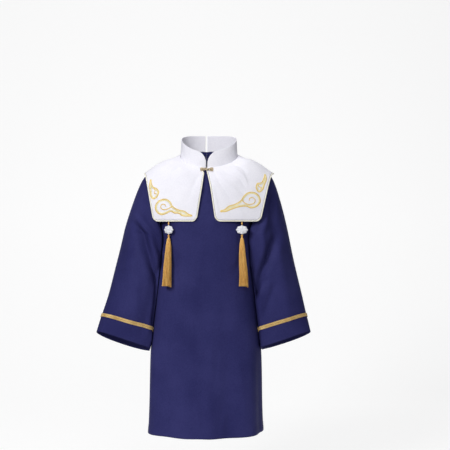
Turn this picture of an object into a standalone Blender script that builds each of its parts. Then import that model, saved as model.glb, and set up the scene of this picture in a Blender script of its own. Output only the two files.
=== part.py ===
"""A child's graduation gown that keeps the hollow shape of its wearer.

A navy robe with wide sleeves hangs from the shoulders. A white cape in two halves lies over it,
with a stand collar, ivory piping, a gold clasp at the throat and two tassels under pale beads.
Metres, +Z up. The front faces -Y, so the wearer's left is +X. The origin is the middle of the
neckline at shoulder height, where the wearer carries the gown.
"""

import math
from collections import namedtuple

import bmesh
import bpy
from mathutils import Matrix, Vector

MM = 0.001

# Cloth walls and the gap that parts two pieces along a seam.
ROBE_WALL = 1.6 * MM
CAPE_WALL = 2.0 * MM
COLLAR_WALL = 2.4 * MM
SEAM = 0.3 * MM
ROBE_SEAM = 0.6 * MM
SHOULDER_EASE = 1.3 * MM

# The trunk of the robe, a row for each level from hem to neck, in millimetres. Front and back
# are depths from the side seam, tilt lifts the back over the front, and dip lowers both of them.
TrunkSection = namedtuple("TrunkSection", "level half_width front back square tilt dip")
TRUNK = [
    TrunkSection(-819, 172.5, 125, 116, 2.3, 0, 0),
    TrunkSection(-790, 170.5, 124, 115, 2.3, 0, 0),
    TrunkSection(-730, 168.5, 122, 113, 2.3, 0, 0),
    TrunkSection(-640, 167, 119, 110, 2.3, 0, 0),
    TrunkSection(-580, 165, 116, 107, 2.3, 0, 0),
    TrunkSection(-500, 158, 112, 104, 2.3, 0, 0),
    TrunkSection(-400, 149, 109, 101, 2.3, 0, 0),
    TrunkSection(-300, 142, 108, 99, 2.4, 0, 0),
    TrunkSection(-217, 142, 108, 98, 2.5, 0, 0),
    TrunkSection(-132, 163, 101, 93, 2.4, 2, 0),
    TrunkSection(-80, 175, 86, 82, 2.2, 7, 2),
    TrunkSection(-50, 175, 74, 71, 2.1, 13, 4),
    TrunkSection(-34, 150, 68, 63, 2.1, 19, 6),
    TrunkSection(-18, 120, 62, 56, 2.0, 24, 8),
    TrunkSection(-3, 86, 56, 50, 2.0, 28, 9),
]
HEM_LEVEL = TRUNK[0].level
NECK_LEVEL = TRUNK[-1].level

# The armhole is an oval cut through the trunk's side.
ARMHOLE_LEVEL = -133
ARMHOLE_HALF_HEIGHT = 83
ARMHOLE_HALF_ANGLE = math.radians(35)

# Broad soft folds of the trunk, an angle round from centre front in degrees. A fold fades in
# from top to bottom, and a negative depth is a trough.
TrunkFold = namedtuple("TrunkFold", "angle top bottom width depth")
TRUNK_FOLDS = [
    TrunkFold(-62, -470, -780, 13, 6.5),
    TrunkFold(-40, -330, -700, 11, -5.5),
    TrunkFold(-17, -260, -620, 10, 4.0),
    TrunkFold(4, -420, -800, 7, 5.0),
    TrunkFold(22, -300, -700, 9, -6.0),
    TrunkFold(47, -340, -740, 11, 5.0),
    TrunkFold(68, -420, -780, 10, -5.0),
    TrunkFold(112, -360, -760, 12, 6.5),
    TrunkFold(137, -330, -700, 11, -6.5),
    TrunkFold(161, -300, -720, 10, 6.0),
    TrunkFold(-114, -380, -760, 12, -5.0),
    TrunkFold(-139, -320, -700, 12, 6.5),
    TrunkFold(-163, -340, -760, 9, -4.5),
]

# The sleeves hang beside the trunk, a row for each ring below the armpit. Out and fore are the
# ring's centre, rise lifts its outer side, lift its front, and skew brings its front inwards.
SleeveSection = namedtuple(
    "SleeveSection", "level out fore half_width half_depth rise lift skew"
)
RIGHT_SLEEVE = [
    SleeveSection(-240, 184, 6, 54, 72, 12, 4, 36),
    SleeveSection(-330, 196, 8, 66, 68, 16, 6, 30),
    SleeveSection(-430, 211.5, 10, 76, 60, 21, 10, 26),
    SleeveSection(-500, 228, 12, 82, 54, 24, 13, 20),
    SleeveSection(-553, 241.5, 12, 84.5, 50, 28, 16, 15),
]
LEFT_SLEEVE = [
    SleeveSection(-240, 184, 6, 54, 72, 12, 4, 34),
    SleeveSection(-330, 194.5, 8, 64, 68, 16, 5, 28),
    SleeveSection(-430, 211, 10, 72, 60, 21, 8, 24),
    SleeveSection(-500, 224, 12, 76, 54, 24, 11, 18),
    SleeveSection(-551, 233, 12, 79.5, 50, 27, 13, 14),
]
SLEEVE_SQUARE = 2.15
SLEEVE_CLEARANCE = 2.8
CAP_EASE = 0.6
CAP_TOP = {-1: (0.94, -0.34), 1: (0.82, -0.57)}
CAP_FOOT = (0.22, -0.88)
CUFF_SEAM = 1.83
SLEEVE_RUN = 310 * MM
BRAID_WIDTH = 10 * MM
BRAID_WALL = 1.0 * MM

# Creases of the sleeves. Each runs from one point to another, given as turns round the ring
# from its outer edge over the front, and steps down it: 0 the armhole, 1 the armpit, 2 the hem.
SleeveFold = namedtuple("SleeveFold", "turn_a step_a turn_b step_b width depth")
RIGHT_SLEEVE_FOLDS = [
    SleeveFold(0.10, 0.72, 0.37, 1.22, 13, -12),
    SleeveFold(0.20, 0.55, 0.40, 1.02, 14, 8),
    SleeveFold(0.13, 1.15, 0.21, 1.85, 18, 6),
    SleeveFold(0.30, 1.35, 0.31, 1.88, 14, -6),
    SleeveFold(0.58, 0.95, 0.72, 1.60, 15, -8),
    SleeveFold(0.70, 0.80, 0.84, 1.40, 16, 7),
]
LEFT_SLEEVE_FOLDS = [
    SleeveFold(0.14, 0.66, 0.34, 1.32, 13, -12),
    SleeveFold(0.27, 0.70, 0.38, 1.25, 12, 8),
    SleeveFold(0.12, 1.10, 0.17, 1.85, 17, 6),
    SleeveFold(0.25, 1.42, 0.38, 1.55, 12, -8),
    SleeveFold(0.60, 0.90, 0.74, 1.65, 15, -8),
    SleeveFold(0.72, 0.80, 0.86, 1.45, 16, 7),
]

# The cape is draped over the shoulders, a row for each distance out from the centre line.
# Ridge is the shoulder's height there, front and back the depths at the cape's lower edge.
CapeSection = namedtuple("CapeSection", "out ridge front back")
CAPE = [
    CapeSection(0, -12, 113, 105),
    CapeSection(60, 0, 107, 101),
    CapeSection(85, 5, 101, 97),
    CapeSection(120, -9.5, 92, 89),
    CapeSection(151, -25, 82, 80),
    CapeSection(191, -53, 70, 68),
]
CAPE_SQUARE_FRONT = 2.3
CAPE_SQUARE_BACK = 3.0
CAPE_HEM = -193
CAPE_CORNER = 11
CAPE_TIP = 191
CAPE_FOOT = {-1: 157, 1: 148}
CAPE_THROAT = 4.8
CAPE_NECK_LAY = 0.42
CAPE_OPENING = {-1: 29, 1: 26.5}
CAPE_BACK_OPENING = 5.2
CAPE_HEM_SHARE = 0.34
BACK_SLIT = 3.0
PIPING_RADIUS = 1.9 * MM

# The stand collar rises from the neck seam: half width, front, back and side height of a ring.
CollarRing = namedtuple("CollarRing", "half_width front back side tilt dip")
COLLAR_BASE = CollarRing(85.5, 56, 50, -2.2, 28, 9)
COLLAR_TOP = CollarRing(83, 53, 47, 49.5, 28, 13)
COLLAR_HEIGHT = 47
COLLAR_CORNER_LENGTH = 24
COLLAR_CORNER_HEIGHT = 36
COLLAR_THROAT = 1.6

# The yoke sits a little to the wearer's left: this far beyond the neck, and less at the throat.
YOKE_SHIFT = 9 * MM
YOKE_REACH = 80 * MM
THROAT_SHIFT = 3.5 * MM

# Tassels, from the cape's lower edge down.
TASSEL_OUT = {-1: 115, 1: 97}
TASSEL_LEAN = {-1: -5 * MM, 1: 5 * MM}
TASSEL_FORE = 5 * MM
CORD_RADIUS = 1.4 * MM
BEAD_TOP = -208 * MM
BEAD_HEIGHT = 26 * MM
BEAD_WIDTH = 35 * MM
BEAD_THICK = 11 * MM
BEAD_TURN = {-1: math.radians(-38), 1: math.radians(4)}
BEAD_LOBES = 8
SKIRT_TOP = -247 * MM
SKIRT_FOOT = -386 * MM
LOCK_SECTIONS = 4
LockRing = namedtuple("LockRing", "count root_radius foot_radius root_size foot_size")
LOCK_RINGS = [
    LockRing(14, 4.4 * MM, 12.4 * MM, 0.75 * MM, 2.1 * MM),
    LockRing(8, 2.3 * MM, 7.4 * MM, 0.6 * MM, 1.9 * MM),
    LockRing(3, 0.9 * MM, 2.8 * MM, 0.4 * MM, 1.6 * MM),
]

# The clasp across the throat.
CLASP_LENGTH = 18.5 * MM
CLASP_SEAT = 0.0377
CLASP_DROP = 0.075
CLASP_THICK = 2.2 * MM
KNOT_RADIUS = 2.8 * MM

NAVY = (0.030, 0.031, 0.118)
WHITE = (0.86, 0.85, 0.90)
IVORY = (0.86, 0.83, 0.70)
GOLD_THREAD = (0.62, 0.36, 0.07)
GOLD_BRAID = (0.68, 0.45, 0.15)
GOLD_METAL = (0.66, 0.50, 0.24)
PEARL = (0.82, 0.83, 0.87)


def clear_scene():
    for item in list(bpy.data.objects):
        bpy.data.objects.remove(item)


def new_collection(name):
    made = bpy.data.collections.new(name)
    bpy.context.scene.collection.children.link(made)
    return made


def new_material(name, colour, roughness, metallic=0.0):
    made = bpy.data.materials.new(name)
    made.use_nodes = True
    shader = made.node_tree.nodes["Principled BSDF"]
    shader.inputs["Base Color"].default_value = (*colour, 1.0)
    shader.inputs["Roughness"].default_value = roughness
    shader.inputs["Metallic"].default_value = metallic
    return made


def smoothstep(low, high, value):
    t = min(1.0, max(0.0, (value - low) / (high - low)))
    return t * t * (3 - 2 * t)


def between(rows, key, value):
    """The table's row at this value of its key column, on a smooth curve through the rows."""
    names = rows[0]._fields
    keys = [getattr(row, key) for row in rows]
    if keys[0] > keys[-1]:
        rows = rows[::-1]
        keys = keys[::-1]
    value = min(keys[-1], max(keys[0], value))
    i = max(k for k in range(len(keys) - 1) if keys[k] <= value)
    t = (value - keys[i]) / (keys[i + 1] - keys[i])

    def slope(column, k):
        a = max(0, k - 1)
        b = min(len(rows) - 1, k + 1)
        rise = getattr(rows[b], column) - getattr(rows[a], column)
        return rise / (keys[b] - keys[a])

    found = {}
    for column in names:
        start = getattr(rows[i], column)
        end = getattr(rows[i + 1], column)
        step = keys[i + 1] - keys[i]
        found[column] = (
            start * (1 + 2 * t) * (1 - t) ** 2
            + slope(column, i) * step * t * (1 - t) ** 2
            + end * t * t * (3 - 2 * t)
            - slope(column, i + 1) * step * t * t * (1 - t)
        )
    return type(rows[0])(**found)


def on_oval(angle, square):
    """A point on the unit superellipse, as its sine-like and cosine-like parts."""
    s = math.sin(angle)
    c = math.cos(angle)
    r = (abs(s) ** square + abs(c) ** square) ** (-1 / square)
    return s * r, c * r


def shift_yoke(point, weight=1.0):
    """Moves a point of the yoke towards the wearer's left."""
    share = smoothstep(0, YOKE_REACH, abs(point.x))
    centre = THROAT_SHIFT * smoothstep(0, 50 * MM, -point.y)
    moved = centre + (YOKE_SHIFT - centre) * share
    return Vector((point.x + moved * weight, point.y, point.z))


# The trunk of the robe


def trunk_relief(angle, level):
    degrees = math.degrees(angle)
    relief = 0.0
    for fold in TRUNK_FOLDS:
        away = (degrees - fold.angle + 180) % 360 - 180
        grown = smoothstep(fold.top, fold.bottom, level)
        relief += fold.depth * grown * math.exp(-((away / fold.width) ** 2))
    return relief


def trunk_point(angle, level, folded=True):
    """A point of the robe's outer face: angle round from centre front, level in millimetres."""
    row = between(TRUNK, "level", level)
    s, c = on_oval(angle, row.square)
    depth = row.front if c > 0 else row.back
    relief = trunk_relief(angle, level) if folded else 0.0
    point = Vector(
        (
            (row.half_width + relief) * s,
            -(depth + relief) * c,
            level - row.tilt * c - row.dip * c * c,
        )
    )
    return shift_yoke(point * MM, smoothstep(-170, -60, level))


def armhole_angle(level):
    """How far in from the side the armhole reaches at this level."""
    s = (level - ARMHOLE_LEVEL) / ARMHOLE_HALF_HEIGHT
    return ARMHOLE_HALF_ANGLE * math.sqrt(max(0.0, 1 - s * s))


def trunk_levels():
    """The levels of a trunk panel's rows: even on the skirt, and closer round the armhole."""
    foot = ARMHOLE_LEVEL - ARMHOLE_HALF_HEIGHT
    skirt_rows = 9
    armhole_rows = 9
    shoulder_rows = 3
    levels = [HEM_LEVEL + (foot - HEM_LEVEL) * k / skirt_rows for k in range(skirt_rows)]
    levels += [
        ARMHOLE_LEVEL - ARMHOLE_HALF_HEIGHT * math.cos(math.pi * k / armhole_rows)
        for k in range(armhole_rows)
    ]
    head = ARMHOLE_LEVEL + ARMHOLE_HALF_HEIGHT
    levels += [
        head + (NECK_LEVEL - head) * k / shoulder_rows for k in range(shoulder_rows + 1)
    ]
    return levels


TRUNK_LEVELS = trunk_levels()


def trunk_level(v):
    """The level at this share of the way up a trunk panel's rows."""
    at = v * (len(TRUNK_LEVELS) - 1)
    i = min(len(TRUNK_LEVELS) - 2, int(at))
    return TRUNK_LEVELS[i] + (TRUNK_LEVELS[i + 1] - TRUNK_LEVELS[i]) * (at - i)


def seam_angle(level):
    """Half the seam's gap as an angle round the trunk."""
    row = between(TRUNK, "level", level)
    at_armhole_top = (level - ARMHOLE_LEVEL - ARMHOLE_HALF_HEIGHT) / 14
    gap = ROBE_SEAM + SHOULDER_EASE * math.exp(-(at_armhole_top**2))
    return 0.5 * gap / (row.half_width * MM)


def front_panel(u, v):
    level = trunk_level(v)
    reach = math.pi / 2 - armhole_angle(level) - seam_angle(level)
    return trunk_point((2 * u - 1) * reach, level)


def back_panel(side):
    """The surface of one back panel, from its side seam to the centre back seam."""

    def surface(u, v):
        level = trunk_level(v)
        gap = 1.4 * seam_angle(level)
        side_angle = math.pi / 2 + armhole_angle(level) + seam_angle(level)
        if side > 0:
            return trunk_point(side_angle + (math.pi - gap - side_angle) * u, level)
        return trunk_point(-math.pi + gap + (math.pi - gap - side_angle) * u, level)

    return surface


# The sleeves


def armhole_point(side, turn):
    """A point of the armhole's edge: turns round from the top, over the front."""
    around = 2 * math.pi * turn
    level = ARMHOLE_LEVEL + ARMHOLE_HALF_HEIGHT * math.cos(around)
    angle = math.pi / 2 - ARMHOLE_HALF_ANGLE * math.sin(around)
    return trunk_point(side * angle, level, folded=False)


def sleeve_rows(side):
    return LEFT_SLEEVE if side > 0 else RIGHT_SLEEVE


def sleeve_ring(side, turn, step):
    """A point of the sleeve below the armpit, with step from 1 at the armpit to 2 at its hem."""
    rows = sleeve_rows(side)
    level = rows[0].level + (step - 1) * (rows[-1].level - rows[0].level)
    row = between(rows, "level", level)
    s, c = on_oval(2 * math.pi * turn, SLEEVE_SQUARE)
    out = row.out + row.half_width * c - row.skew * s
    fore = row.fore + row.half_depth * s
    return Vector((side * out, -fore, level + row.rise * c + row.lift * s)) * MM


def sleeve_cap(side, turn, step):
    """A point of the sleeve's head, which curves from the armhole to the armpit's ring."""
    start = armhole_point(side, turn)
    end = sleeve_ring(side, turn, 1.0)
    onward = (sleeve_ring(side, turn, 1.02) - end).normalized()
    around = 2 * math.pi * turn
    high = 0.5 + 0.5 * math.cos(around)
    out = CAP_FOOT[0] + (CAP_TOP[side][0] - CAP_FOOT[0]) * high
    down = CAP_FOOT[1] + (CAP_TOP[side][1] - CAP_FOOT[1]) * high
    leaving = Vector((side * out, -0.25 * math.sin(around), down)).normalized()
    start = start + leaving * (ROBE_WALL + SEAM)
    chord = (end - start).length
    t = step
    return (
        start * (1 + 2 * t) * (1 - t) ** 2
        + leaving * chord * CAP_EASE * t * (1 - t) ** 2
        + end * t * t * (3 - 2 * t)
        - onward * chord * t * t * (1 - t)
    )


def beside_trunk(point):
    """Moves a sleeve's point out where it would be in the trunk, so that it rests on it."""
    level = point.z / MM
    row = between(TRUNK, "level", level)
    depth = row.front if point.y < 0 else row.back
    share = min(1.0, abs(point.y) / MM / depth)
    out = row.half_width * (1 - share**row.square) ** (1 / row.square)
    around = math.atan2(out / row.half_width, -point.y / MM / depth)
    out += trunk_relief(math.copysign(around, point.x), level)
    out += SLEEVE_CLEARANCE
    soft = 5.0
    now = abs(point.x) / MM
    moved = 0.5 * (now + out + math.sqrt((now - out) ** 2 + soft * soft))
    moved = now + (moved - now) * smoothstep(-120, -165, level) * smoothstep(-2, 3, out - now + soft)
    return Vector((math.copysign(moved * MM, point.x), point.y, point.z))


def sleeve_bare(side, turn, step):
    if step < 1:
        return sleeve_cap(side, turn, max(0.0, step))
    return sleeve_ring(side, turn, step)


def sleeve_relief(side, turn, step):
    """How far the creases raise the sleeve here, in metres."""
    folds = LEFT_SLEEVE_FOLDS if side > 0 else RIGHT_SLEEVE_FOLDS
    girth = 400
    length = 310
    relief = 0.0
    for fold in folds:
        ax = fold.turn_a * girth
        az = fold.step_a * length
        bx = (fold.turn_b - fold.turn_a) * girth
        bz = (fold.step_b - fold.step_a) * length
        px = (turn % 1.0) * girth - ax
        pz = step * length - az
        run = bx * bx + bz * bz
        t = min(1.15, max(-0.15, (px * bx + pz * bz) / run))
        away = math.hypot(px - t * bx, pz - t * bz)
        ends = smoothstep(-0.15, 0.25, t) * smoothstep(1.15, 0.75, t)
        relief += fold.depth * ends * math.exp(-((away / fold.width) ** 2))
    return relief * smoothstep(0.0, 0.5, step) * MM


def sleeve_outward(side, turn, step):
    """The sleeve's outward normal, without its creases."""
    d = 0.004
    low = max(0.0, step - d)
    across = sleeve_bare(side, turn + d, step) - sleeve_bare(side, turn - d, step)
    down = sleeve_bare(side, turn, step + d) - sleeve_bare(side, turn, low)
    return across.cross(down).normalized() * side


def sleeve_point(side, turn, step, out=0.0):
    outward = sleeve_outward(side, turn, step)
    point = sleeve_bare(side, turn, step) + outward * sleeve_relief(side, turn, step)
    rested = point.lerp(beside_trunk(point), smoothstep(0.0, 0.25, step))
    return rested + outward * out


# The cape and the collar


def neck_ring(ring, angle):
    """A point of a collar ring: angle round from centre front."""
    s, c = math.sin(angle), math.cos(angle)
    depth = ring.front if c > 0 else ring.back
    point = Vector(
        (ring.half_width * s, -depth * c, ring.side - ring.tilt * c - ring.dip * c * c)
    )
    return shift_yoke(point * MM)


def cape_drape(out, lay):
    """The cape's inner face: millimetres out from the centre line, and lay from -1 at the
    front hem over 0 at the shoulder's ridge to 1 at the back hem."""
    row = between(CAPE, "out", abs(out))
    square = CAPE_SQUARE_FRONT if lay < 0 else CAPE_SQUARE_BACK
    s, c = on_oval(lay * math.pi / 2, square)
    depth = row.front if lay < 0 else row.back
    height = row.ridge - CAPE_HEM
    return shift_yoke(Vector((out, depth * s, CAPE_HEM + height * c)) * MM)


def round_corner(edge, hem, radius):
    """Moves a point near a square corner so that the corner becomes round. Both distances
    are from the corner's two sides."""
    if edge >= radius or hem >= radius:
        return edge, hem
    p = 1 - edge / radius
    q = 1 - hem / radius
    round_p = p * math.sqrt(1 - q * q / 2)
    round_q = q * math.sqrt(1 - p * p / 2)
    return radius * (1 - round_p), radius * (1 - round_q)


def cape_inner_edge(side, lay):
    """How far out the edge at the front or back opening lies, in millimetres."""
    if lay > 0:
        return CAPE_BACK_OPENING
    below = max(0.0, (abs(lay) - CAPE_NECK_LAY) / (1 - CAPE_NECK_LAY))
    return CAPE_THROAT + (CAPE_OPENING[side] - CAPE_THROAT) * below


def cape_outer_edge(side, lay):
    """How far out the edge on the shoulder lies, in millimetres."""
    foot = CAPE_FOOT[side]
    return foot + (CAPE_TIP - foot) * (1 - abs(lay) ** 1.4)


def cape_place(side, u, v):
    """Distance out and lay of a point of one half of the cape: u runs from centre front over
    the shoulder to centre back, and v from the neck to the outer edge."""
    u = min(1.0, max(0.0, u))
    around = math.pi * u
    neck_lay = -CAPE_NECK_LAY * math.cos(around)
    inner = CAPE_THROAT if u < 0.5 else CAPE_BACK_OPENING
    neck_out = max(COLLAR_BASE.half_width * math.sin(around), inner)
    front = -1 if u < 0.5 else 1
    along_hem = min(u, 1 - u) / CAPE_HEM_SHARE
    if along_hem < 1:
        edge_lay = front
        start = cape_inner_edge(side, edge_lay)
        width = CAPE_FOOT[side] - start
        edge_out = start + width * (0.5 - 0.5 * math.cos(math.pi * along_hem))
    else:
        along = (u - CAPE_HEM_SHARE) / (1 - 2 * CAPE_HEM_SHARE)
        edge_lay = -math.cos(math.pi * along)
        edge_out = cape_outer_edge(side, edge_lay)
    out = neck_out + (edge_out - neck_out) * v
    lay = neck_lay + (edge_lay - neck_lay) * v
    per_lay = (between(CAPE, "out", out).ridge - CAPE_HEM) * math.pi / 2
    above_hem = (1 - abs(lay)) * per_lay
    from_inner = out - cape_inner_edge(side, lay)
    from_outer = cape_outer_edge(side, lay) - out
    if from_inner < from_outer:
        moved, above_hem = round_corner(max(0.0, from_inner), above_hem, CAPE_CORNER)
        out += moved - max(0.0, from_inner)
    else:
        moved, above_hem = round_corner(max(0.0, from_outer), above_hem, CAPE_CORNER)
        out -= moved - max(0.0, from_outer)
    return out, (1 - above_hem / per_lay) * (front if abs(lay) > 0.5 else math.copysign(1, lay))


def cape_half(side):
    """The inner face of one half of the cape, drawn in to the collar's foot at its neck."""
    ease_rows = 0.45

    def surface(u, v):
        out, lay = cape_place(side, u, v)
        point = cape_drape(side * out, lay)
        neck_out, neck_lay = cape_place(side, u, 0.0)
        seat = neck_ring(COLLAR_BASE, side * math.pi * min(1.0, max(0.0, u)))
        away = Vector((seat.x - YOKE_SHIFT, seat.y, 0)).normalized()
        seat += away * (SEAM + 0.2 * MM)
        edge = (CAPE_THROAT if u < 0.5 else CAPE_BACK_OPENING) * MM
        seat.x = side * max(side * seat.x, edge)
        drawn = seat - cape_drape(side * neck_out, neck_lay)
        return point + drawn * (1 - smoothstep(0.0, ease_rows, v))

    return surface


def collar_half(side):
    """The surface of one half of the collar: u from centre front to centre back, v upwards."""

    def surface(u, v):
        base_length = 210
        start = COLLAR_THROAT / COLLAR_BASE.half_width
        end = math.pi - BACK_SLIT / COLLAR_BASE.half_width
        along = u * base_length
        below_top = (1 - v) * COLLAR_HEIGHT
        share_u = along / COLLAR_CORNER_LENGTH
        share_v = below_top / COLLAR_CORNER_HEIGHT
        if share_u < 1 and share_v < 1:
            moved_u, moved_v = round_corner(share_u, share_v, 1.0)
            along = moved_u * COLLAR_CORNER_LENGTH
            below_top = moved_v * COLLAR_CORNER_HEIGHT
        angle = start + (end - start) * along / base_length
        height = 1 - below_top / COLLAR_HEIGHT
        low = neck_ring(COLLAR_BASE, side * angle)
        high = neck_ring(COLLAR_TOP, side * angle)
        point = low + (high - low) * height
        if angle < 0.4:
            point.x = side * max(side * point.x, COLLAR_THROAT * MM)
        return point

    return surface


# Building pieces from surfaces


def spread(count, ends=0.0):
    """Shares from 0 to 1. With ends above 0 they crowd towards both ends."""
    even = [k / count for k in range(count + 1)]
    return [(1 - ends) * t + ends * (0.5 - 0.5 * math.cos(math.pi * t)) for t in even]


def add_wall(item, thickness):
    solid = item.modifiers.new("Wall", "SOLIDIFY")
    solid.thickness = thickness
    solid.offset = -1
    solid.use_even_offset = True
    solid.use_quality_normals = True


def cloth_patch(name, surface, us, vs, thickness, material, collection, flip=False):
    """A panel of cloth: a grid laid on a surface, given its wall inwards."""
    mesh = bpy.data.meshes.new(name)
    work = bmesh.new()
    bmesh.ops.create_grid(work, x_segments=len(us) - 1, y_segments=len(vs) - 1, size=0.5)
    for vertex in work.verts:
        column = round((vertex.co.x + 0.5) * (len(us) - 1))
        row = round((vertex.co.y + 0.5) * (len(vs) - 1))
        vertex.co = surface(us[column], vs[row])
    if flip:
        bmesh.ops.reverse_faces(work, faces=work.faces[:])
    work.to_mesh(mesh)
    work.free()
    return finish_cloth(name, mesh, thickness, material, collection)


def cloth_tube(name, surface, turns, steps, thickness, material, collection):
    """A tube of cloth: rings of points joined into a sleeve, given its wall inwards."""
    mesh = bpy.data.meshes.new(name)
    work = bmesh.new()
    bmesh.ops.create_cone(
        work, cap_ends=False, segments=turns, radius1=1, radius2=1, depth=len(steps) - 1
    )
    rails = [edge for edge in work.edges if edge.verts[0].co.z != edge.verts[1].co.z]
    bmesh.ops.subdivide_edges(work, edges=rails, cuts=len(steps) - 2, use_grid_fill=False)
    for vertex in work.verts:
        turn = (math.atan2(vertex.co.y, vertex.co.x) / (2 * math.pi)) % 1.0
        row = round(vertex.co.z + (len(steps) - 1) / 2)
        vertex.co = surface(turn, steps[row])
    work.normal_update()
    middle = sum((vertex.co for vertex in work.verts), Vector()) / len(work.verts)
    faces = work.faces[:]
    if sum(face.normal.dot(face.calc_center_median() - middle) for face in faces) < 0:
        bmesh.ops.reverse_faces(work, faces=faces)
    work.to_mesh(mesh)
    work.free()
    return finish_cloth(name, mesh, thickness, material, collection)


def finish_cloth(name, mesh, thickness, material, collection):
    mesh.shade_smooth()
    item = bpy.data.objects.new(name, mesh)
    collection.objects.link(item)
    item.data.materials.append(material)
    add_wall(item, thickness)
    return item


def build_trunk(material, collection):
    rows = spread(len(TRUNK_LEVELS) - 1)
    cloth_patch(
        "robe_front", front_panel, spread(24, 0.3), rows, ROBE_WALL, material, collection
    )
    for side, name in ((1, "robe_back_left"), (-1, "robe_back_right")):
        cloth_patch(
            name, back_panel(side), spread(12, 0.2), rows, ROBE_WALL, material, collection
        )


def build_sleeves(navy, braid, collection):
    ring = 26
    seam_step = SEAM / SLEEVE_RUN
    band = 0.5 * BRAID_WIDTH / SLEEVE_RUN
    for side, name in ((1, "left"), (-1, "right")):

        def cloth(turn, step, side=side):
            return sleeve_point(side, turn, step)

        def trim(turn, step, side=side):
            return sleeve_point(side, turn, step, out=2.5 * SEAM + BRAID_WALL)

        steps = [0, 0.1, 0.25, 0.4, 0.55, 0.7, 0.85, 1.0, 1.12, 1.25, 1.39, 1.54, 1.69]
        steps += [CUFF_SEAM - band, CUFF_SEAM - seam_step]
        cloth_tube(
            "sleeve_" + name, cloth, ring, steps, ROBE_WALL, navy, collection
        )
        cuff = [CUFF_SEAM + seam_step, CUFF_SEAM + band, 1.92, 2.0]
        cloth_tube("cuff_" + name, cloth, ring, cuff, ROBE_WALL, navy, collection)
        cloth_tube(
            "braid_" + name,
            trim,
            ring,
            [CUFF_SEAM - band, CUFF_SEAM + band],
            BRAID_WALL,
            braid,
            collection,
        )


CAPE_ROWS = [0, 0.05, 0.14, 0.3, 0.48, 0.66, 0.82, 0.91, 0.965, 1.0]
CAPE_HALF_COLUMNS = [0, 0.035, 0.065, 0.12, 0.18, 0.235, 0.275, 0.305, 0.34]
CAPE_HALF_COLUMNS += [0.356, 0.375, 0.4, 0.425, 0.45, 0.475]
CAPE_COLUMNS = CAPE_HALF_COLUMNS + [0.5] + [1 - u for u in reversed(CAPE_HALF_COLUMNS)]


def build_cape(white, ivory, collection):
    for side, name in ((1, "left"), (-1, "right")):
        surface = cape_half(side)
        cloth_patch(
            "cape_" + name,
            surface,
            CAPE_COLUMNS,
            CAPE_ROWS,
            CAPE_WALL,
            white,
            collection,
            flip=side < 0,
        )
        build_piping("piping_" + name, surface, side, ivory, collection)
        columns = [0, 0.02, 0.045, 0.075, 0.114, 0.17, 0.26, 0.36, 0.46, 0.56, 0.66]
        columns += [0.76, 0.86, 0.94, 1.0]
        cloth_patch(
            "collar_" + name,
            collar_half(side),
            columns,
            [0, 0.23, 0.42, 0.6, 0.77, 0.9, 0.97, 1.0],
            COLLAR_WALL,
            white,
            collection,
            flip=side < 0,
        )


def tube_along(name, points, radius, material, collection, resolution=1):
    """A round cord or piping through these points, as a curve with closed ends."""
    curve = bpy.data.curves.new(name, "CURVE")
    curve.dimensions = "3D"
    curve.bevel_depth = radius
    curve.bevel_resolution = resolution
    curve.use_fill_caps = True
    line = curve.splines.new("POLY")
    line.points.add(len(points) - 1)
    for spot, point in zip(line.points, points):
        spot.co = (*point, 1)
    item = bpy.data.objects.new(name, curve)
    collection.objects.link(item)
    item.data.materials.append(material)
    return item


def build_piping(name, surface, side, material, collection):
    """Piping just outside the cape's free edge: down the front, round the hem, up the back."""
    down = [(0.0, v) for v in CAPE_ROWS[1:-1]]
    spots = down + [(u, 1.0) for u in CAPE_COLUMNS] + [(1.0, v) for _, v in reversed(down)]
    edge = [surface(u, v) for u, v in spots]
    line = []
    for k, (u, v) in enumerate(spots):
        before = (edge[k] - edge[max(0, k - 1)]).normalized()
        after = (edge[min(len(edge) - 1, k + 1)] - edge[k]).normalized()
        tangent = (before + after).normalized()
        next_u = min(CAPE_COLUMNS[-2], max(CAPE_COLUMNS[1], u))
        inward = surface(next_u, min(CAPE_ROWS[-2], v)) - edge[k]
        outward = (tangent * inward.dot(tangent) - inward).normalized()
        normal = outward.cross(tangent).normalized() * side
        line.append(
            edge[k] + outward * (PIPING_RADIUS + 1.5 * SEAM) + normal * CAPE_WALL * 0.5
        )
    tube_along(name, line, PIPING_RADIUS, material, collection)


# Tassels, beads and clasp


def turned(name, profile, material, collection, steps=12):
    """A turned solid: radius and height pairs, top to bottom, spun about its own Z axis."""
    mesh = bpy.data.meshes.new(name)
    points = [(radius, 0.0, height) for radius, height in profile]
    mesh.from_pydata(points, [(k, k + 1) for k in range(len(points) - 1)], [])
    item = bpy.data.objects.new(name, mesh)
    collection.objects.link(item)
    item.data.materials.append(material)
    screw = item.modifiers.new("Turn", "SCREW")
    screw.steps = steps
    screw.render_steps = steps
    screw.use_merge_vertices = True
    screw.merge_threshold = 0.00001
    return item


def tassel_axis(side, height):
    """The point of the tassel's hanging line at this height, under the cape's front hem."""
    hook = cape_drape(side * TASSEL_OUT[side], -1)
    piping_middle = hook.y - 0.5 * CAPE_WALL
    sway = (SKIRT_TOP - height) / (SKIRT_TOP - SKIRT_FOOT)
    grown = smoothstep(0.0, 1.0, sway)
    fore = piping_middle - TASSEL_FORE * grown
    return Vector((hook.x + TASSEL_LEAN[side] * grown, fore, height))


def lock_centre(side, ring, around, height):
    """The middle of one lock of threads at this height."""
    fall = (SKIRT_TOP - height) / (SKIRT_TOP - SKIRT_FOOT)
    spread_out = 0.62 * smoothstep(0.0, 0.45, fall) + 0.38 * fall
    radius = ring.root_radius + (ring.foot_radius - ring.root_radius) * spread_out
    axis = tassel_axis(side, height)
    return axis + Vector((math.cos(around), math.sin(around), 0)) * radius


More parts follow.
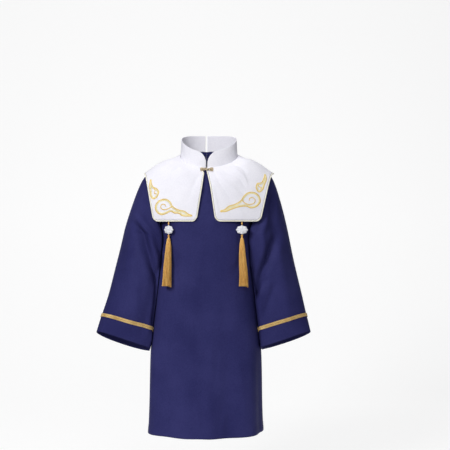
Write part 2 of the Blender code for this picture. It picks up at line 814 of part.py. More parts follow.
def add_lock(work, side, ring, around, foot):
    """One lock of threads: a three-sided strand that thickens as it falls."""
    corners = 3
    rows = []
    for k in range(LOCK_SECTIONS):
        share = k / (LOCK_SECTIONS - 1)
        height = SKIRT_TOP + (foot - SKIRT_TOP) * share
        centre = lock_centre(side, ring, around, height)
        size = ring.root_size + (ring.foot_size - ring.root_size) * share**0.8
        rows.append(
            [
                work.verts.new(
                    centre
                    + Vector((math.cos(a), math.sin(a), 0)) * size
                )
                for a in (around + 2 * math.pi * c / corners for c in range(corners))
            ]
        )
    for upper, lower in zip(rows, rows[1:]):
        for c in range(corners):
            d = (c + 1) % corners
            work.faces.new((upper[c], lower[c], lower[d], upper[d]))
    work.faces.new(list(reversed(rows[0])))
    work.faces.new(rows[-1])


def build_tassel(name, side, material, collection, helpers):
    head_profile = [
        (0.0, 0.0),
        (1.3 * MM, -0.2 * MM),
        (1.4 * MM, -2.0 * MM),
        (2.9 * MM, -3.4 * MM),
        (3.1 * MM, -5.2 * MM),
        (1.9 * MM, -6.4 * MM),
        (2.4 * MM, -9.0 * MM),
        (5.4 * MM, -13.6 * MM),
        (5.6 * MM, -15.6 * MM),
        (0.0, -15.6 * MM),
    ]
    head = turned(name, head_profile, material, collection)
    head.location = tassel_axis(side, BEAD_TOP - BEAD_HEIGHT - SEAM)
    mesh = bpy.data.meshes.new(name + "_locks")
    work = bmesh.new()
    for index, ring in enumerate(LOCK_RINGS):
        for k in range(ring.count):
            around = 2 * math.pi * (k + 0.5 * index) / ring.count
            foot = SKIRT_FOOT + 2.2 * MM * math.sin(5 * k + 3 * index)
            add_lock(work, side, ring, around, foot)
    bmesh.ops.recalc_face_normals(work, faces=work.faces[:])
    work.to_mesh(mesh)
    work.free()
    locks = bpy.data.objects.new(name + "_locks", mesh)
    helpers.objects.link(locks)
    locks.hide_render = True
    locks.display_type = "WIRE"
    join = head.modifiers.new("Locks", "BOOLEAN")
    join.operation = "UNION"
    join.solver = "EXACT"
    join.object = locks


def bead_outline(count=32):
    """The lobed outline of the carved bead, in its own plane."""
    points = []
    for k in range(count):
        a = 2 * math.pi * k / count
        lobe = 1 - 0.055 + 0.055 * math.cos(BEAD_LOBES * a)
        points.append(
            (0.5 * BEAD_WIDTH * lobe * math.cos(a), 0.5 * BEAD_HEIGHT * lobe * math.sin(a))
        )
    return points


def build_bead(name, side, material, collection):
    curve = bpy.data.curves.new(name, "CURVE")
    curve.dimensions = "2D"
    curve.fill_mode = "BOTH"
    bevel = 3.2 * MM
    curve.extrude = 0.5 * BEAD_THICK - bevel
    curve.bevel_depth = bevel
    curve.bevel_resolution = 1
    curve.offset = -bevel
    line = curve.splines.new("POLY")
    outline = bead_outline()
    line.points.add(len(outline) - 1)
    for spot, (x, y) in zip(line.points, outline):
        spot.co = (x, y, 0, 1)
    line.use_cyclic_u = True
    item = bpy.data.objects.new(name, curve)
    collection.objects.link(item)
    item.data.materials.append(material)
    middle = tassel_axis(side, BEAD_TOP - 0.5 * BEAD_HEIGHT)
    upright = Matrix.Rotation(math.pi / 2, 4, "X")
    turn = Matrix.Rotation(BEAD_TURN[side], 4, "Z")
    item.matrix_world = Matrix.Translation(middle) @ turn @ upright


def build_hanger(name, side, material, collection):
    """The short cord with a small knot that holds the bead under the cape's edge."""
    top = CAPE_HEM * MM - 2 * PIPING_RADIUS - 2 * SEAM
    foot = BEAD_TOP + SEAM
    length = top - foot
    knot = 2.5 * MM
    profile = [
        (0.0, 0.0),
        (CORD_RADIUS, -0.1 * MM),
        (CORD_RADIUS, -0.35 * length + knot * 0.5),
        (knot, -0.35 * length - 0.4 * MM),
        (knot, -0.75 * length),
        (CORD_RADIUS, -0.75 * length - 1.1 * MM),
        (CORD_RADIUS, -length + 0.1 * MM),
        (0.0, -length),
    ]
    item = turned(name, profile, material, collection, steps=10)
    item.location = tassel_axis(side, top)


def build_tassels(gold, pearl, collection, helpers):
    for side, name in ((1, "left"), (-1, "right")):
        build_hanger("hanger_" + name, side, gold, collection)
        build_bead("bead_" + name, side, pearl, collection)
        build_tassel("tassel_" + name, side, gold, collection, helpers)


def cape_facet(surface, u, v):
    """A point of the cape's inner face as built, on the facets between rows and columns."""
    i = max(k for k in range(len(CAPE_COLUMNS) - 1) if CAPE_COLUMNS[k] <= u)
    j = max(k for k in range(len(CAPE_ROWS) - 1) if CAPE_ROWS[k] <= v)
    across = (u - CAPE_COLUMNS[i]) / (CAPE_COLUMNS[i + 1] - CAPE_COLUMNS[i])
    down = (v - CAPE_ROWS[j]) / (CAPE_ROWS[j + 1] - CAPE_ROWS[j])
    upper = surface(CAPE_COLUMNS[i], CAPE_ROWS[j]).lerp(
        surface(CAPE_COLUMNS[i + 1], CAPE_ROWS[j]), across
    )
    lower = surface(CAPE_COLUMNS[i], CAPE_ROWS[j + 1]).lerp(
        surface(CAPE_COLUMNS[i + 1], CAPE_ROWS[j + 1]), across
    )
    return upper.lerp(lower, down)


def clasp_place(side):
    """Where one plate of the clasp lies: at the cape's front edge, flat on its outer face."""
    surface = cape_half(side)
    seat = cape_facet(surface, CLASP_SEAT, CLASP_DROP)
    inner = cape_facet(surface, CLASP_SEAT - 0.02, CLASP_DROP)
    outer = cape_facet(surface, CLASP_SEAT + 0.02, CLASP_DROP)
    across = (outer - inner).normalized() * side
    down = cape_facet(surface, CLASP_SEAT, CLASP_DROP + 0.04) - cape_facet(
        surface, CLASP_SEAT, CLASP_DROP - 0.04
    )
    face = down.cross(across).normalized()
    up = face.cross(across)
    rows = [[*row, at] for row, at in zip(zip(across, up, face), seat)]
    place = Matrix(rows + [[0, 0, 0, 1]])
    back = place.inverted()
    highest = 0.0
    for u in (0.0, 0.035, 0.05, 0.065, 0.078):
        for k in range(5):
            v = CLASP_DROP * (0.2 + 0.4 * k)
            highest = max(highest, (back @ cape_facet(surface, u, v)).z)
    over_piping = PIPING_RADIUS + 0.5 * CAPE_WALL
    return place @ Matrix.Translation((0, 0, highest + over_piping + SEAM))


def build_clasp(metal, collection):
    """Two lobed plates, one sewn on each half of the cape over its piping, and the knot that
    joins them across the throat."""
    ends = []
    for side, name in ((1, "clasp_left"), (-1, "clasp_right")):
        place = clasp_place(side)
        curve = bpy.data.curves.new(name, "CURVE")
        curve.dimensions = "2D"
        curve.fill_mode = "BOTH"
        curve.extrude = 0.5 * CLASP_THICK
        line = curve.splines.new("POLY")
        outline = []
        count = 20
        for k in range(count):
            a = 2 * math.pi * (k + 0.5) / count
            reach = 1 - 0.16 * math.cos(3 * a)
            x = side * 0.43 * CLASP_LENGTH * reach * math.cos(a)
            outline.append((x, side * 6.6 * MM * reach * math.sin(a)))
        line.points.add(count - 1)
        for spot, (x, y) in zip(line.points, outline):
            spot.co = (x, y, 0, 1)
        line.use_cyclic_u = True
        item = bpy.data.objects.new(name, curve)
        collection.objects.link(item)
        item.data.materials.append(metal)
        item.matrix_world = place @ Matrix.Translation((0, 0, 0.5 * CLASP_THICK))
        ends.append(place @ Vector((-side * 0.5 * CLASP_LENGTH, 0, KNOT_RADIUS + 2 * SEAM)))
    knot = [
        (0.0, 1.5 * KNOT_RADIUS),
        (0.57 * KNOT_RADIUS, 1.3 * KNOT_RADIUS),
        (0.94 * KNOT_RADIUS, 0.7 * KNOT_RADIUS),
        (KNOT_RADIUS, 0.0),
        (0.94 * KNOT_RADIUS, -0.7 * KNOT_RADIUS),
        (0.57 * KNOT_RADIUS, -1.3 * KNOT_RADIUS),
        (0.0, -1.5 * KNOT_RADIUS),
    ]
    item = turned("clasp_knot", knot, metal, collection, steps=12)
    item.location = (ends[0] + ends[1]) / 2


def main():
    clear_scene()
    gown = new_collection("graduation_gown")
    helpers = new_collection("helpers")
    navy = new_material("navy_cloth", NAVY, 0.62)
    white = new_material("white_cloth", WHITE, 0.7)
    ivory = new_material("ivory_piping", IVORY, 0.5)
    gold = new_material("gold_thread", GOLD_THREAD, 0.45)
    braid = new_material("gold_braid", GOLD_BRAID, 0.4, 0.3)
    metal = new_material("gold_metal", GOLD_METAL, 0.3, 1.0)
    pearl = new_material("pale_bead", PEARL, 0.3)
    build_trunk(navy, gown)
    build_sleeves(navy, braid, gown)
    build_cape(white, ivory, gown)
    build_tassels(gold, pearl, gown, helpers)
    build_clasp(metal, gown)


main()
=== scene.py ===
"""The looks of a child's graduation gown that keeps the hollow shape of its wearer.

Metres, +Z up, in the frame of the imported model: the front faces -Y and the wearer's left is +X.
The origin is the middle of the neckline. The sections follow the order in which the gown is sewn:
the robe's trunk, the sleeves with their braid, the cape, the collar, the clasp and the tassels.
"""

import math
from collections import namedtuple

import bmesh
import bpy
from mathutils import Matrix, Vector, noise
from mathutils.bvhtree import BVHTree


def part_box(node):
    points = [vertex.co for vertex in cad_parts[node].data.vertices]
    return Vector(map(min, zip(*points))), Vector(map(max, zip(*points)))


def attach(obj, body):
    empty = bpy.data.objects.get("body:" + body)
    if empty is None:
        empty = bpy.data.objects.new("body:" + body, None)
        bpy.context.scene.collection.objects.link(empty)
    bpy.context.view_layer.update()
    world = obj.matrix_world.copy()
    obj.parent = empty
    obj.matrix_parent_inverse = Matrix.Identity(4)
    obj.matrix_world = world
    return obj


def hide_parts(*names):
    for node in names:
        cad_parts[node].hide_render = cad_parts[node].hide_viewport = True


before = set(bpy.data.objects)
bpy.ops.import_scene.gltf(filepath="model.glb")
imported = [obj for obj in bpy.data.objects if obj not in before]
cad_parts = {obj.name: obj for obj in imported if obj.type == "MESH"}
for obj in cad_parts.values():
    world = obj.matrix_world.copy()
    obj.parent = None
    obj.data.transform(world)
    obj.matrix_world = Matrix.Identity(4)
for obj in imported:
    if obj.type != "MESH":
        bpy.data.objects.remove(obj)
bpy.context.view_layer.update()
MM = 0.001
SIDES = {1: "left", -1: "right"}

# The studio
# A pale floor that sweeps up into a backdrop, a camera at chest height, and soft daylight from
# big panels, the strongest on the wearer's right.
CAMERA_PLACE = (0.057, -2.6, -0.207)
CAMERA_LENS = 69.33
FLOOR_LEVEL = -1.06
SWEEP_SIDES = (-1.5, 1.6)
SWEEP_FRONT = -0.9
SWEEP_DEPTH = 2.4
SWEEP_RADIUS = 0.9
SWEEP_TOP = 4.0
LIGHT_AIM = Vector((0.0, 0.0, -0.4))


def put(name, data):
    """A new object in the scene for this mesh, curve, light or camera."""
    item = bpy.data.objects.new(name, data)
    bpy.context.scene.collection.objects.link(item)
    return item


camera = put("camera", bpy.data.cameras.new("camera"))
camera.data.lens = CAMERA_LENS
camera.data.sensor_width = 36
camera.location = CAMERA_PLACE
camera.rotation_euler = (math.pi / 2, 0, 0)
bpy.context.scene.camera = camera
bpy.context.scene.view_settings.view_transform = "Standard"

paper = bpy.data.materials.new("studio paper")
paper.use_nodes = True
paper_shader = paper.node_tree.nodes["Principled BSDF"]
paper_shader.inputs["Base Color"].default_value = (0.35, 0.35, 0.35, 1)
paper_shader.inputs["Roughness"].default_value = 0.9
paper_shader.inputs["Specular IOR Level"].default_value = 0.1
paper_shader.inputs["Emission Color"].default_value = (1, 1, 1, 1)
paper_shader.inputs["Emission Strength"].default_value = 0.72

bend_start = SWEEP_DEPTH - SWEEP_RADIUS
sweep_profile = [(SWEEP_FRONT, FLOOR_LEVEL), (bend_start, FLOOR_LEVEL)]
for step in range(1, 17):
    bend = math.pi / 2 * step / 16
    up = FLOOR_LEVEL + SWEEP_RADIUS * (1 - math.cos(bend))
    sweep_profile.append((bend_start + SWEEP_RADIUS * math.sin(bend), up))
sweep_profile.append((SWEEP_DEPTH, SWEEP_TOP))
sweep = bpy.data.meshes.new("studio sweep")
sweep.from_pydata(
    [(x, y, z) for x in SWEEP_SIDES for y, z in sweep_profile],
    [],
    [
        (k, k + 1, k + 1 + len(sweep_profile), k + len(sweep_profile))
        for k in range(len(sweep_profile) - 1)
    ],
)
sweep.shade_smooth()
sweep.materials.append(paper)
backdrop = put("studio_sweep", sweep)

daylight = bpy.data.worlds.new("daylight")
daylight.use_nodes = True
sky = daylight.node_tree.nodes["Background"]
sky.inputs["Color"].default_value = (0.96, 0.97, 1.0, 1)
sky.inputs["Strength"].default_value = 0.17
bpy.context.scene.world = daylight

Panel = namedtuple("Panel", "name place size power")
for panel in (
    Panel("window_right", (-1.9, -2.8, 1.35), 1.0, 82),
    Panel("front_screen", (0.5, -3.6, 1.5), 2.0, 24),
    Panel("ceiling", (0.3, -0.9, 2.2), 1.4, 22),
):
    light = put(panel.name, bpy.data.lights.new(panel.name, "AREA"))
    light.data.size = panel.size
    light.data.energy = panel.power
    light.location = panel.place
    aim = LIGHT_AIM - light.location
    light.rotation_euler = aim.to_track_quat("-Z", "Y").to_euler()


# The robe's trunk
# Navy satin suiting, cut as one front and two backs with a seam at centre back, hemmed at the
# foot with one row of stitching. It hangs from the shoulders in broad soft folds.
TrunkSection = namedtuple("TrunkSection", "level half_width front back square tilt dip")
TRUNK = [
    TrunkSection(-819, 172.5, 125, 116, 2.3, 0, 0),
    TrunkSection(-790, 170.5, 124, 115, 2.3, 0, 0),
    TrunkSection(-730, 168.5, 122, 113, 2.3, 0, 0),
    TrunkSection(-640, 167, 119, 110, 2.3, 0, 0),
    TrunkSection(-580, 165, 116, 107, 2.3, 0, 0),
    TrunkSection(-500, 158, 112, 104, 2.3, 0, 0),
    TrunkSection(-400, 149, 109, 101, 2.3, 0, 0),
    TrunkSection(-300, 142, 108, 99, 2.4, 0, 0),
    TrunkSection(-217, 142, 108, 98, 2.5, 0, 0),
    TrunkSection(-132, 163, 101, 93, 2.4, 2, 0),
    TrunkSection(-80, 175, 86, 82, 2.2, 7, 2),
    TrunkSection(-50, 175, 74, 71, 2.1, 13, 4),
    TrunkSection(-34, 150, 68, 63, 2.1, 19, 6),
    TrunkSection(-18, 120, 62, 56, 2.0, 24, 8),
    TrunkSection(-3, 86, 56, 50, 2.0, 28, 9),
]
ROBE_WALL = 1.6 * MM
ROBE_SEAM = 0.1 * MM
SHOULDER_EASE = 0.4 * MM
HEM_STITCH = 17
ARMHOLE_LEVEL = -133
ARMHOLE_HALF_HEIGHT = 83
ARMHOLE_HALF_ANGLE = math.radians(35)
YOKE_SHIFT = 9 * MM
YOKE_REACH = 80 * MM
THROAT_SHIFT = 3.5 * MM

# Broad folds, an angle round from centre front in degrees, growing from top to bottom.
TrunkFold = namedtuple("TrunkFold", "angle top bottom width depth")
TRUNK_FOLDS = [
    TrunkFold(-62, -470, -780, 13, 6.5),
    TrunkFold(-40, -330, -700, 11, -5.5),
    TrunkFold(-17, -260, -620, 10, 4.0),
    TrunkFold(4, -420, -800, 7, 5.0),
    TrunkFold(22, -300, -700, 9, -6.0),
    TrunkFold(47, -340, -740, 11, 5.0),
    TrunkFold(68, -420, -780, 10, -5.0),
    TrunkFold(112, -360, -760, 12, 6.5),
    TrunkFold(137, -330, -700, 11, -6.5),
    TrunkFold(161, -300, -720, 10, 6.0),
    TrunkFold(-114, -380, -760, 12, -5.0),
    TrunkFold(-139, -320, -700, 12, 6.5),
    TrunkFold(-163, -340, -760, 9, -4.5),
]

# Smaller creases, each from a first to a second place: how far round and how far down, here in
# degrees and in millimetres of level. A negative depth is a trough.
Crease = namedtuple("Crease", "round_a down_a round_b down_b width depth")
TRUNK_CREASES = [
    Crease(-58, -250, -34, -345, 9, -2.2),
    Crease(-55, -225, -24, -300, 8, 1.8),
    Crease(57, -245, 33, -350, 9, -2.2),
    Crease(60, -300, 44, -420, 8, 1.8),
    Crease(-31, -470, -38, -640, 12, 2.0),
    Crease(-3, -240, -14, -470, 14, 1.6),
    Crease(12, -560, 8, -700, 9, -1.6),
    Crease(34, -600, 40, -760, 9, 2.0),
    Crease(-50, -690, -54, -800, 7, 2.4),
    Crease(-8, -720, -5, -810, 6, 2.0),
    Crease(20, -740, 17, -812, 6, 1.8),
    Crease(124, -250, 146, -380, 9, -2.4),
    Crease(-126, -250, -150, -360, 9, -2.4),
    Crease(131, -230, 158, -300, 8, 2.0),
    Crease(-132, -235, -160, -315, 8, 2.0),
    Crease(150, -520, 146, -700, 10, 2.2),
    Crease(-152, -560, -148, -740, 10, -2.0),
    Crease(172, -430, 170, -640, 8, -1.8),
]


def smoothstep(low, high, value):
    t = min(1.0, max(0.0, (value - low) / (high - low)))
    return t * t * (3 - 2 * t)


def between(rows, key, value):
    """The table's row at this value of its key column, on a smooth curve through the rows."""
    names = rows[0]._fields
    keys = [getattr(row, key) for row in rows]
    if keys[0] > keys[-1]:
        rows = rows[::-1]
        keys = keys[::-1]
    value = min(keys[-1], max(keys[0], value))
    i = max(k for k in range(len(keys) - 1) if keys[k] <= value)
    t = (value - keys[i]) / (keys[i + 1] - keys[i])

    def slope(column, k):
        a = max(0, k - 1)
        b = min(len(rows) - 1, k + 1)
        rise = getattr(rows[b], column) - getattr(rows[a], column)
        return rise / (keys[b] - keys[a])

    found = {}
    for column in names:
        start = getattr(rows[i], column)
        end = getattr(rows[i + 1], column)
        step = keys[i + 1] - keys[i]
        found[column] = (
            start * (1 + 2 * t) * (1 - t) ** 2
            + slope(column, i) * step * t * (1 - t) ** 2
            + end * t * t * (3 - 2 * t)
            - slope(column, i + 1) * step * t * t * (1 - t)
        )
    return type(rows[0])(**found)


def on_oval(angle, square):
    """A point on the unit superellipse, as its sine-like and cosine-like parts."""
    s = math.sin(angle)
    c = math.cos(angle)
    r = (abs(s) ** square + abs(c) ** square) ** (-1 / square)
    return s * r, c * r


def shift_yoke(point, weight=1.0):
    """Moves a point of the yoke towards the wearer's left."""
    share = smoothstep(0, YOKE_REACH, abs(point.x))
    centre = THROAT_SHIFT * smoothstep(0, 50 * MM, -point.y)
    moved = centre + (YOKE_SHIFT - centre) * share
    return Vector((point.x + moved * weight, point.y, point.z))


def near_line(x, y, ax, ay, bx, by, width):
    """1 on the line from a to b and fading over its width, with tapered ends."""
    taper = 0.2
    run = (bx - ax) ** 2 + (by - ay) ** 2
    t = ((x - ax) * (bx - ax) + (y - ay) * (by - ay)) / run
    t = min(1 + taper, max(-taper, t))
    away = math.hypot(x - ax - t * (bx - ax), y - ay - t * (by - ay))
    if away > 3 * width:
        return 0.0
    ends = smoothstep(-taper, taper, t) * smoothstep(1 + taper, 1 - taper, t)
    return ends * math.exp(-((away / width) ** 2))


def crease_relief(creases, x, y, mm_round, mm_down):
    """How far the creases raise the cloth at this place, in millimetres. The last two turn the
    places' own units into millimetres of cloth."""
    relief = 0.0
    for crease in creases:
        relief += crease.depth * near_line(
            x * mm_round,
            y * mm_down,
            crease.round_a * mm_round,
            crease.down_a * mm_down,
            crease.round_b * mm_round,
            crease.down_b * mm_down,
            crease.width,
        )
    return relief


def trunk_relief(angle, level):
    """The broad folds alone, in millimetres, which the sleeves lie against too."""
    degrees = math.degrees(angle)
    relief = 0.0
    for fold in TRUNK_FOLDS:
        away = (degrees - fold.angle + 180) % 360 - 180
        grown = smoothstep(fold.top, fold.bottom, level)
        relief += fold.depth * grown * math.exp(-((away / fold.width) ** 2))
    return relief


def trunk_creases(angle, level):
    """The smaller creases and the unevenness of the cloth, in millimetres."""
    mm_a_degree = 2.4
    relief = crease_relief(TRUNK_CREASES, math.degrees(angle), level, mm_a_degree, 1)
    loose = smoothstep(ARMHOLE_LEVEL, -330, level)
    around = Vector((math.sin(angle) * 2.2, math.cos(angle) * 2.2, level / 260))
    relief += 1.1 * loose * noise.noise(around)
    above_hem = level - TRUNK[0].level
    relief -= 0.5 * math.exp(-(((above_hem - HEM_STITCH) / 1.6) ** 2))
    relief += 0.35 * smoothstep(HEM_STITCH + 1, HEM_STITCH - 2, above_hem)
    return relief


def trunk_point(angle, level, creased=True):
    """A point of the robe's outer face: angle round from centre front, level in millimetres."""
    row = between(TRUNK, "level", level)
    s, c = on_oval(angle, row.square)
    depth = row.front if c > 0 else row.back
    relief = trunk_relief(angle, level) + trunk_creases(angle, level) if creased else 0.0
    point = Vector(
        (
            (row.half_width + relief) * s,
            -(depth + relief) * c,
            level - row.tilt * c - row.dip * c * c,
        )
    )
    return shift_yoke(point * MM, smoothstep(-170, -60, level))


def armhole_angle(level):
    """How far in from the side the armhole reaches at this level."""
    s = (level - ARMHOLE_LEVEL) / ARMHOLE_HALF_HEIGHT
    return ARMHOLE_HALF_ANGLE * math.sqrt(max(0.0, 1 - s * s))


def trunk_level(v):
    """The level at this share of a panel's length: close rows round the armhole."""
    foot = ARMHOLE_LEVEL - ARMHOLE_HALF_HEIGHT
    head = ARMHOLE_LEVEL + ARMHOLE_HALF_HEIGHT
    if v < 0.5:
        return TRUNK[0].level + (foot - TRUNK[0].level) * v / 0.5
    if v < 0.88:
        return ARMHOLE_LEVEL - ARMHOLE_HALF_HEIGHT * math.cos(math.pi * (v - 0.5) / 0.38)
    return head + (TRUNK[-1].level - head) * (v - 0.88) / 0.12


def seam_angle(level):
    """Half the seam's gap as an angle round the trunk, wider over the armhole's top."""
    row = between(TRUNK, "level", level)
    at_armhole_top = (level - ARMHOLE_LEVEL - ARMHOLE_HALF_HEIGHT) / 14
    gap = ROBE_SEAM + SHOULDER_EASE * math.exp(-(at_armhole_top**2))
    return 0.5 * gap / (row.half_width * MM)


def front_panel(u, v):
    level = trunk_level(v)
    reach = math.pi / 2 - armhole_angle(level) - seam_angle(level)
    return trunk_point((2 * u - 1) * reach, level)


def back_panel(side):
    """The surface of one back panel, from its side seam to the centre back seam."""

    def surface(u, v):
        level = trunk_level(v)
        gap = 1.4 * seam_angle(level)
        side_angle = math.pi / 2 + armhole_angle(level) + seam_angle(level)
        if side > 0:
            return trunk_point(side_angle + (math.pi - gap - side_angle) * u, level)
        return trunk_point(-math.pi + gap + (math.pi - gap - side_angle) * u, level)

    return surface


def new_group(name, inputs, outputs):
    """A shader node group with these named number inputs and outputs."""
    group = bpy.data.node_groups.new(name, "ShaderNodeTree")
    for label, start in inputs:
        socket = group.interface.new_socket(label, in_out="INPUT", socket_type="NodeSocketFloat")
        socket.default_value = start
    for label in outputs:
        group.interface.new_socket(label, in_out="OUTPUT", socket_type="NodeSocketFloat")
    return group, group.nodes.new("NodeGroupInput"), group.nodes.new("NodeGroupOutput")


def add_node(tree, kind, inputs, **settings):
    """A new node whose inputs are joined to sockets or set to plain values."""
    node = tree.nodes.new(kind)
    for key, value in settings.items():
        setattr(node, key, value)
    for key, value in inputs.items():
        if isinstance(value, bpy.types.NodeSocket):
            tree.links.new(value, node.inputs[key])
        else:
            node.inputs[key].default_value = value
    return node


def maths(tree, operation, *values):
    """The output of a Math node on sockets or plain numbers."""
    return add_node(tree, "ShaderNodeMath", dict(enumerate(values)), operation=operation).outputs[0]


def noise_on(tree, vector, scale, detail=2.0):
    """The mask of a noise texture at this place and scale."""
    inputs = {"Vector": vector, "Scale": scale, "Detail": detail}
    return add_node(tree, "ShaderNodeTexNoise", inputs).outputs["Fac"]


def woven_cloth_group():
    """Twill threads on the cloth's own UVs, and a tone of painted shade and light with fibre flecks.
    """
    group, given, out = new_group(
        "woven cloth", [("Threads per metre", 1800.0), ("Slub", 0.3)], ["Height", "Tone"]
    )

    def number(operation, *values):
        return maths(group, operation, *values)

    place = add_node(group, "ShaderNodeUVMap", {}, uv_map="cloth")
    split = add_node(group, "ShaderNodeSeparateXYZ", {0: place.outputs[0]})
    across = number("MULTIPLY", split.outputs[0], given.outputs[0])
    along = number("MULTIPLY", split.outputs[1], given.outputs[0])
    twill = number("SINE", number("MULTIPLY", number("ADD", across, along), math.pi / 2))
    warp = number("ABSOLUTE", number("SINE", number("MULTIPLY", across, math.pi)))
    weft = number("ABSOLUTE", number("SINE", number("MULTIPLY", along, math.pi)))
    over = number("GREATER_THAN", twill, 0.0)
    under = number("SUBTRACT", 1.0, over)
    low_weft = number("MULTIPLY", number("MULTIPLY", weft, 0.7), under)
    threads = number("ADD", number("MULTIPLY", warp, over), low_weft)
    space = add_node(group, "ShaderNodeTexCoord", {}).outputs["Object"]
    slub = noise_on(group, space, 260, 3)
    uneven = number("MULTIPLY", slub, given.outputs[1])
    group.links.new(number("ADD", threads, uneven), out.inputs[0])
    fleck = number("MULTIPLY", number("SUBTRACT", slub, 0.5), 0.5)
    # The tone's broad noise paints soft patches of shade and light; the fleck is the fibres' own
    # unevenness.
    group.links.new(number("ADD", noise_on(group, space, 9, 4), fleck), out.inputs[1])
    return group


woven_cloth = woven_cloth_group()


def new_material(name, group=None, **values):
    """A new material, and the output sockets of the node group that it holds."""
    made = bpy.data.materials.new(name)
    made.use_nodes = True
    if group is None:
        return made, None
    held = made.node_tree.nodes.new("ShaderNodeGroup")
    held.node_tree = group
    for label, value in values.items():
        held.inputs[label.replace("_", " ")].default_value = value
    return made, held.outputs


def tinted_shader(made, tone, dark, light, rough_low, rough_high):
    """Joins a mask to the Principled shader's colour and roughness, and returns the shader."""
    tree = made.node_tree
    shader = tree.nodes["Principled BSDF"]
    spread_out = add_node(
        tree, "ShaderNodeMapRange", {"From Min": 0.3, "From Max": 0.7, "Value": tone}
    )
    tones = {"A": (*dark, 1), "B": (*light, 1), "Factor": spread_out.outputs["Result"]}
    tint = add_node(tree, "ShaderNodeMix", tones, data_type="RGBA")
    tree.links.new(tint.outputs["Result"], shader.inputs["Base Color"])
    rough = add_node(
        tree, "ShaderNodeMapRange", {"To Min": rough_low, "To Max": rough_high, "Value": tone}
    )
    tree.links.new(rough.outputs["Result"], shader.inputs["Roughness"])
    return shader


def raised(made, height, strength, distance):
    """Joins a height to the Principled shader's normal."""
    tree = made.node_tree
    relief = {"Strength": strength, "Distance": distance, "Height": height}
    bump = add_node(tree, "ShaderNodeBump", relief)
    tree.links.new(bump.outputs["Normal"], tree.nodes["Principled BSDF"].inputs["Normal"])


def cloth_material(name, dark, light, threads, rough, sheen):
    """Woven cloth: its tones in painted shade and light, threads per metre, roughness range and nap.
    """
    made, weave = new_material(name, woven_cloth, Threads_per_metre=threads)
    shader = tinted_shader(made, weave["Tone"], dark, light, *rough)
    shader.inputs["Sheen Weight"].default_value = sheen
    shader.inputs["Sheen Roughness"].default_value = 0.45
    shader.inputs["Specular IOR Level"].default_value = 0.03
    raised(made, weave["Height"], 0.35, 0.12 * MM)
    return made


# Its darker blue is painted shade and its lighter blue painted light, mixed in broad soft patches.
navy_satin = cloth_material(
    "navy satin suiting",
    (0.0235, 0.024, 0.100),
    (0.035, 0.0355, 0.133),
    1900,
    (0.46, 0.6),
    0.0,
)


def even_shares(count, edge=0.0):
    """Shares from 0 to 1 in this many steps. An edge above 0 is the width of the end steps."""
    if edge == 0:
        return [k / count for k in range(count + 1)]
    inner = [edge + (1 - 2 * edge) * k / (count - 2) for k in range(count - 1)]
    return [0.0] + inner + [1.0]


def cloth_shell(name, surface, steps, cut, wall, material, closed=False, flip=False, edge=0.0):
    """A piece of cloth as a thin wall: a grid of steps across and along its surface, with UVs in
    metres of the flat cut."""
    us = even_shares(steps[0], edge)
    vs = even_shares(steps[1])
    mesh = bpy.data.meshes.new(name)
    work = bmesh.new()
    weave = work.loops.layers.uv.new("cloth")
    count = len(us) - 1 if closed else len(us)
    grid = [[work.verts.new(surface(u, v)) for u in us[:count]] for v in vs]
    for j in range(len(vs) - 1):
        for i in range(len(us) - 1):
            corners = [(i, j), (i + 1, j), (i + 1, j + 1), (i, j + 1)]
            if flip:
                corners.reverse()
            face = work.faces.new([grid[b][a % count] for a, b in corners])
            face.smooth = True
            for loop, (a, b) in zip(face.loops, corners):
                loop[weave].uv = (cut[0] * us[a], cut[1] * vs[b])
    work.normal_update()
    work.to_mesh(mesh)
    work.free()
    item = put(name, mesh)
    mesh.materials.append(material)
    solid = item.modifiers.new("Wall", "SOLIDIFY")
    solid.thickness = wall
    solid.offset = -1
    return item


FRONT_CUT = (0.50, 0.89)
BACK_CUT = (0.25, 0.89)
robe_front = cloth_shell(
    "robe_front_cloth", front_panel, (108, 170), FRONT_CUT, ROBE_WALL, navy_satin
)
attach(robe_front, "root")
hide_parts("robe_front")
for side, word in SIDES.items():
    name = "robe_back_" + word + "_cloth"
    robe_back = cloth_shell(name, back_panel(side), (54, 170), BACK_CUT, ROBE_WALL, navy_satin)
    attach(robe_back, "root")
    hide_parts("robe_back_" + word)


# The hem's stitching
# One row of navy lockstitch, sewn round the foot through both layers of the turned-up hem.
# Each stitch is a short rounded bar of thread that sinks into the cloth at its ends.


def thread_material(name, dark, light, rough, metallic=0.0, twist=900.0, streaks=55.0):
    """Spun thread: fine slanting fibres that catch the light."""
    made, fibres = new_material(
        name, spun_thread, Fibres_per_metre=twist, Streaks_per_metre=streaks
    )
    shader = tinted_shader(made, fibres["Tone"], dark, light, *rough)
    shader.inputs["Metallic"].default_value = metallic
    shader.inputs["Sheen Weight"].default_value = 0.15
    raised(made, fibres["Height"], 0.5, 0.15 * MM)
    return made


def spun_thread_group():
    """Fine fibres that run along a thread, and the changes of tone between threads."""
    group, given, out = new_group(
        "spun thread", [("Fibres per metre", 900.0), ("Streaks per metre", 55.0)], ["Height", "Tone"]
    )
    space = add_node(group, "ShaderNodeTexCoord", {}).outputs["Object"]
    squeeze = add_node(group, "ShaderNodeMapping", {"Scale": (1.0, 1.0, 0.12), "Vector": space})
    fibre = noise_on(group, squeeze.outputs["Vector"], given.outputs[0], 4)
    broad = noise_on(group, squeeze.outputs["Vector"], given.outputs[1])
    group.links.new(fibre, out.inputs[0])
    group.links.new(maths(group, "MULTIPLY", maths(group, "ADD", fibre, broad), 0.5), out.inputs[1])
    return group


spun_thread = spun_thread_group()
navy_thread = thread_material(
    "navy sewing thread", (0.02, 0.02, 0.085), (0.045, 0.046, 0.16), (0.4, 0.6)
)


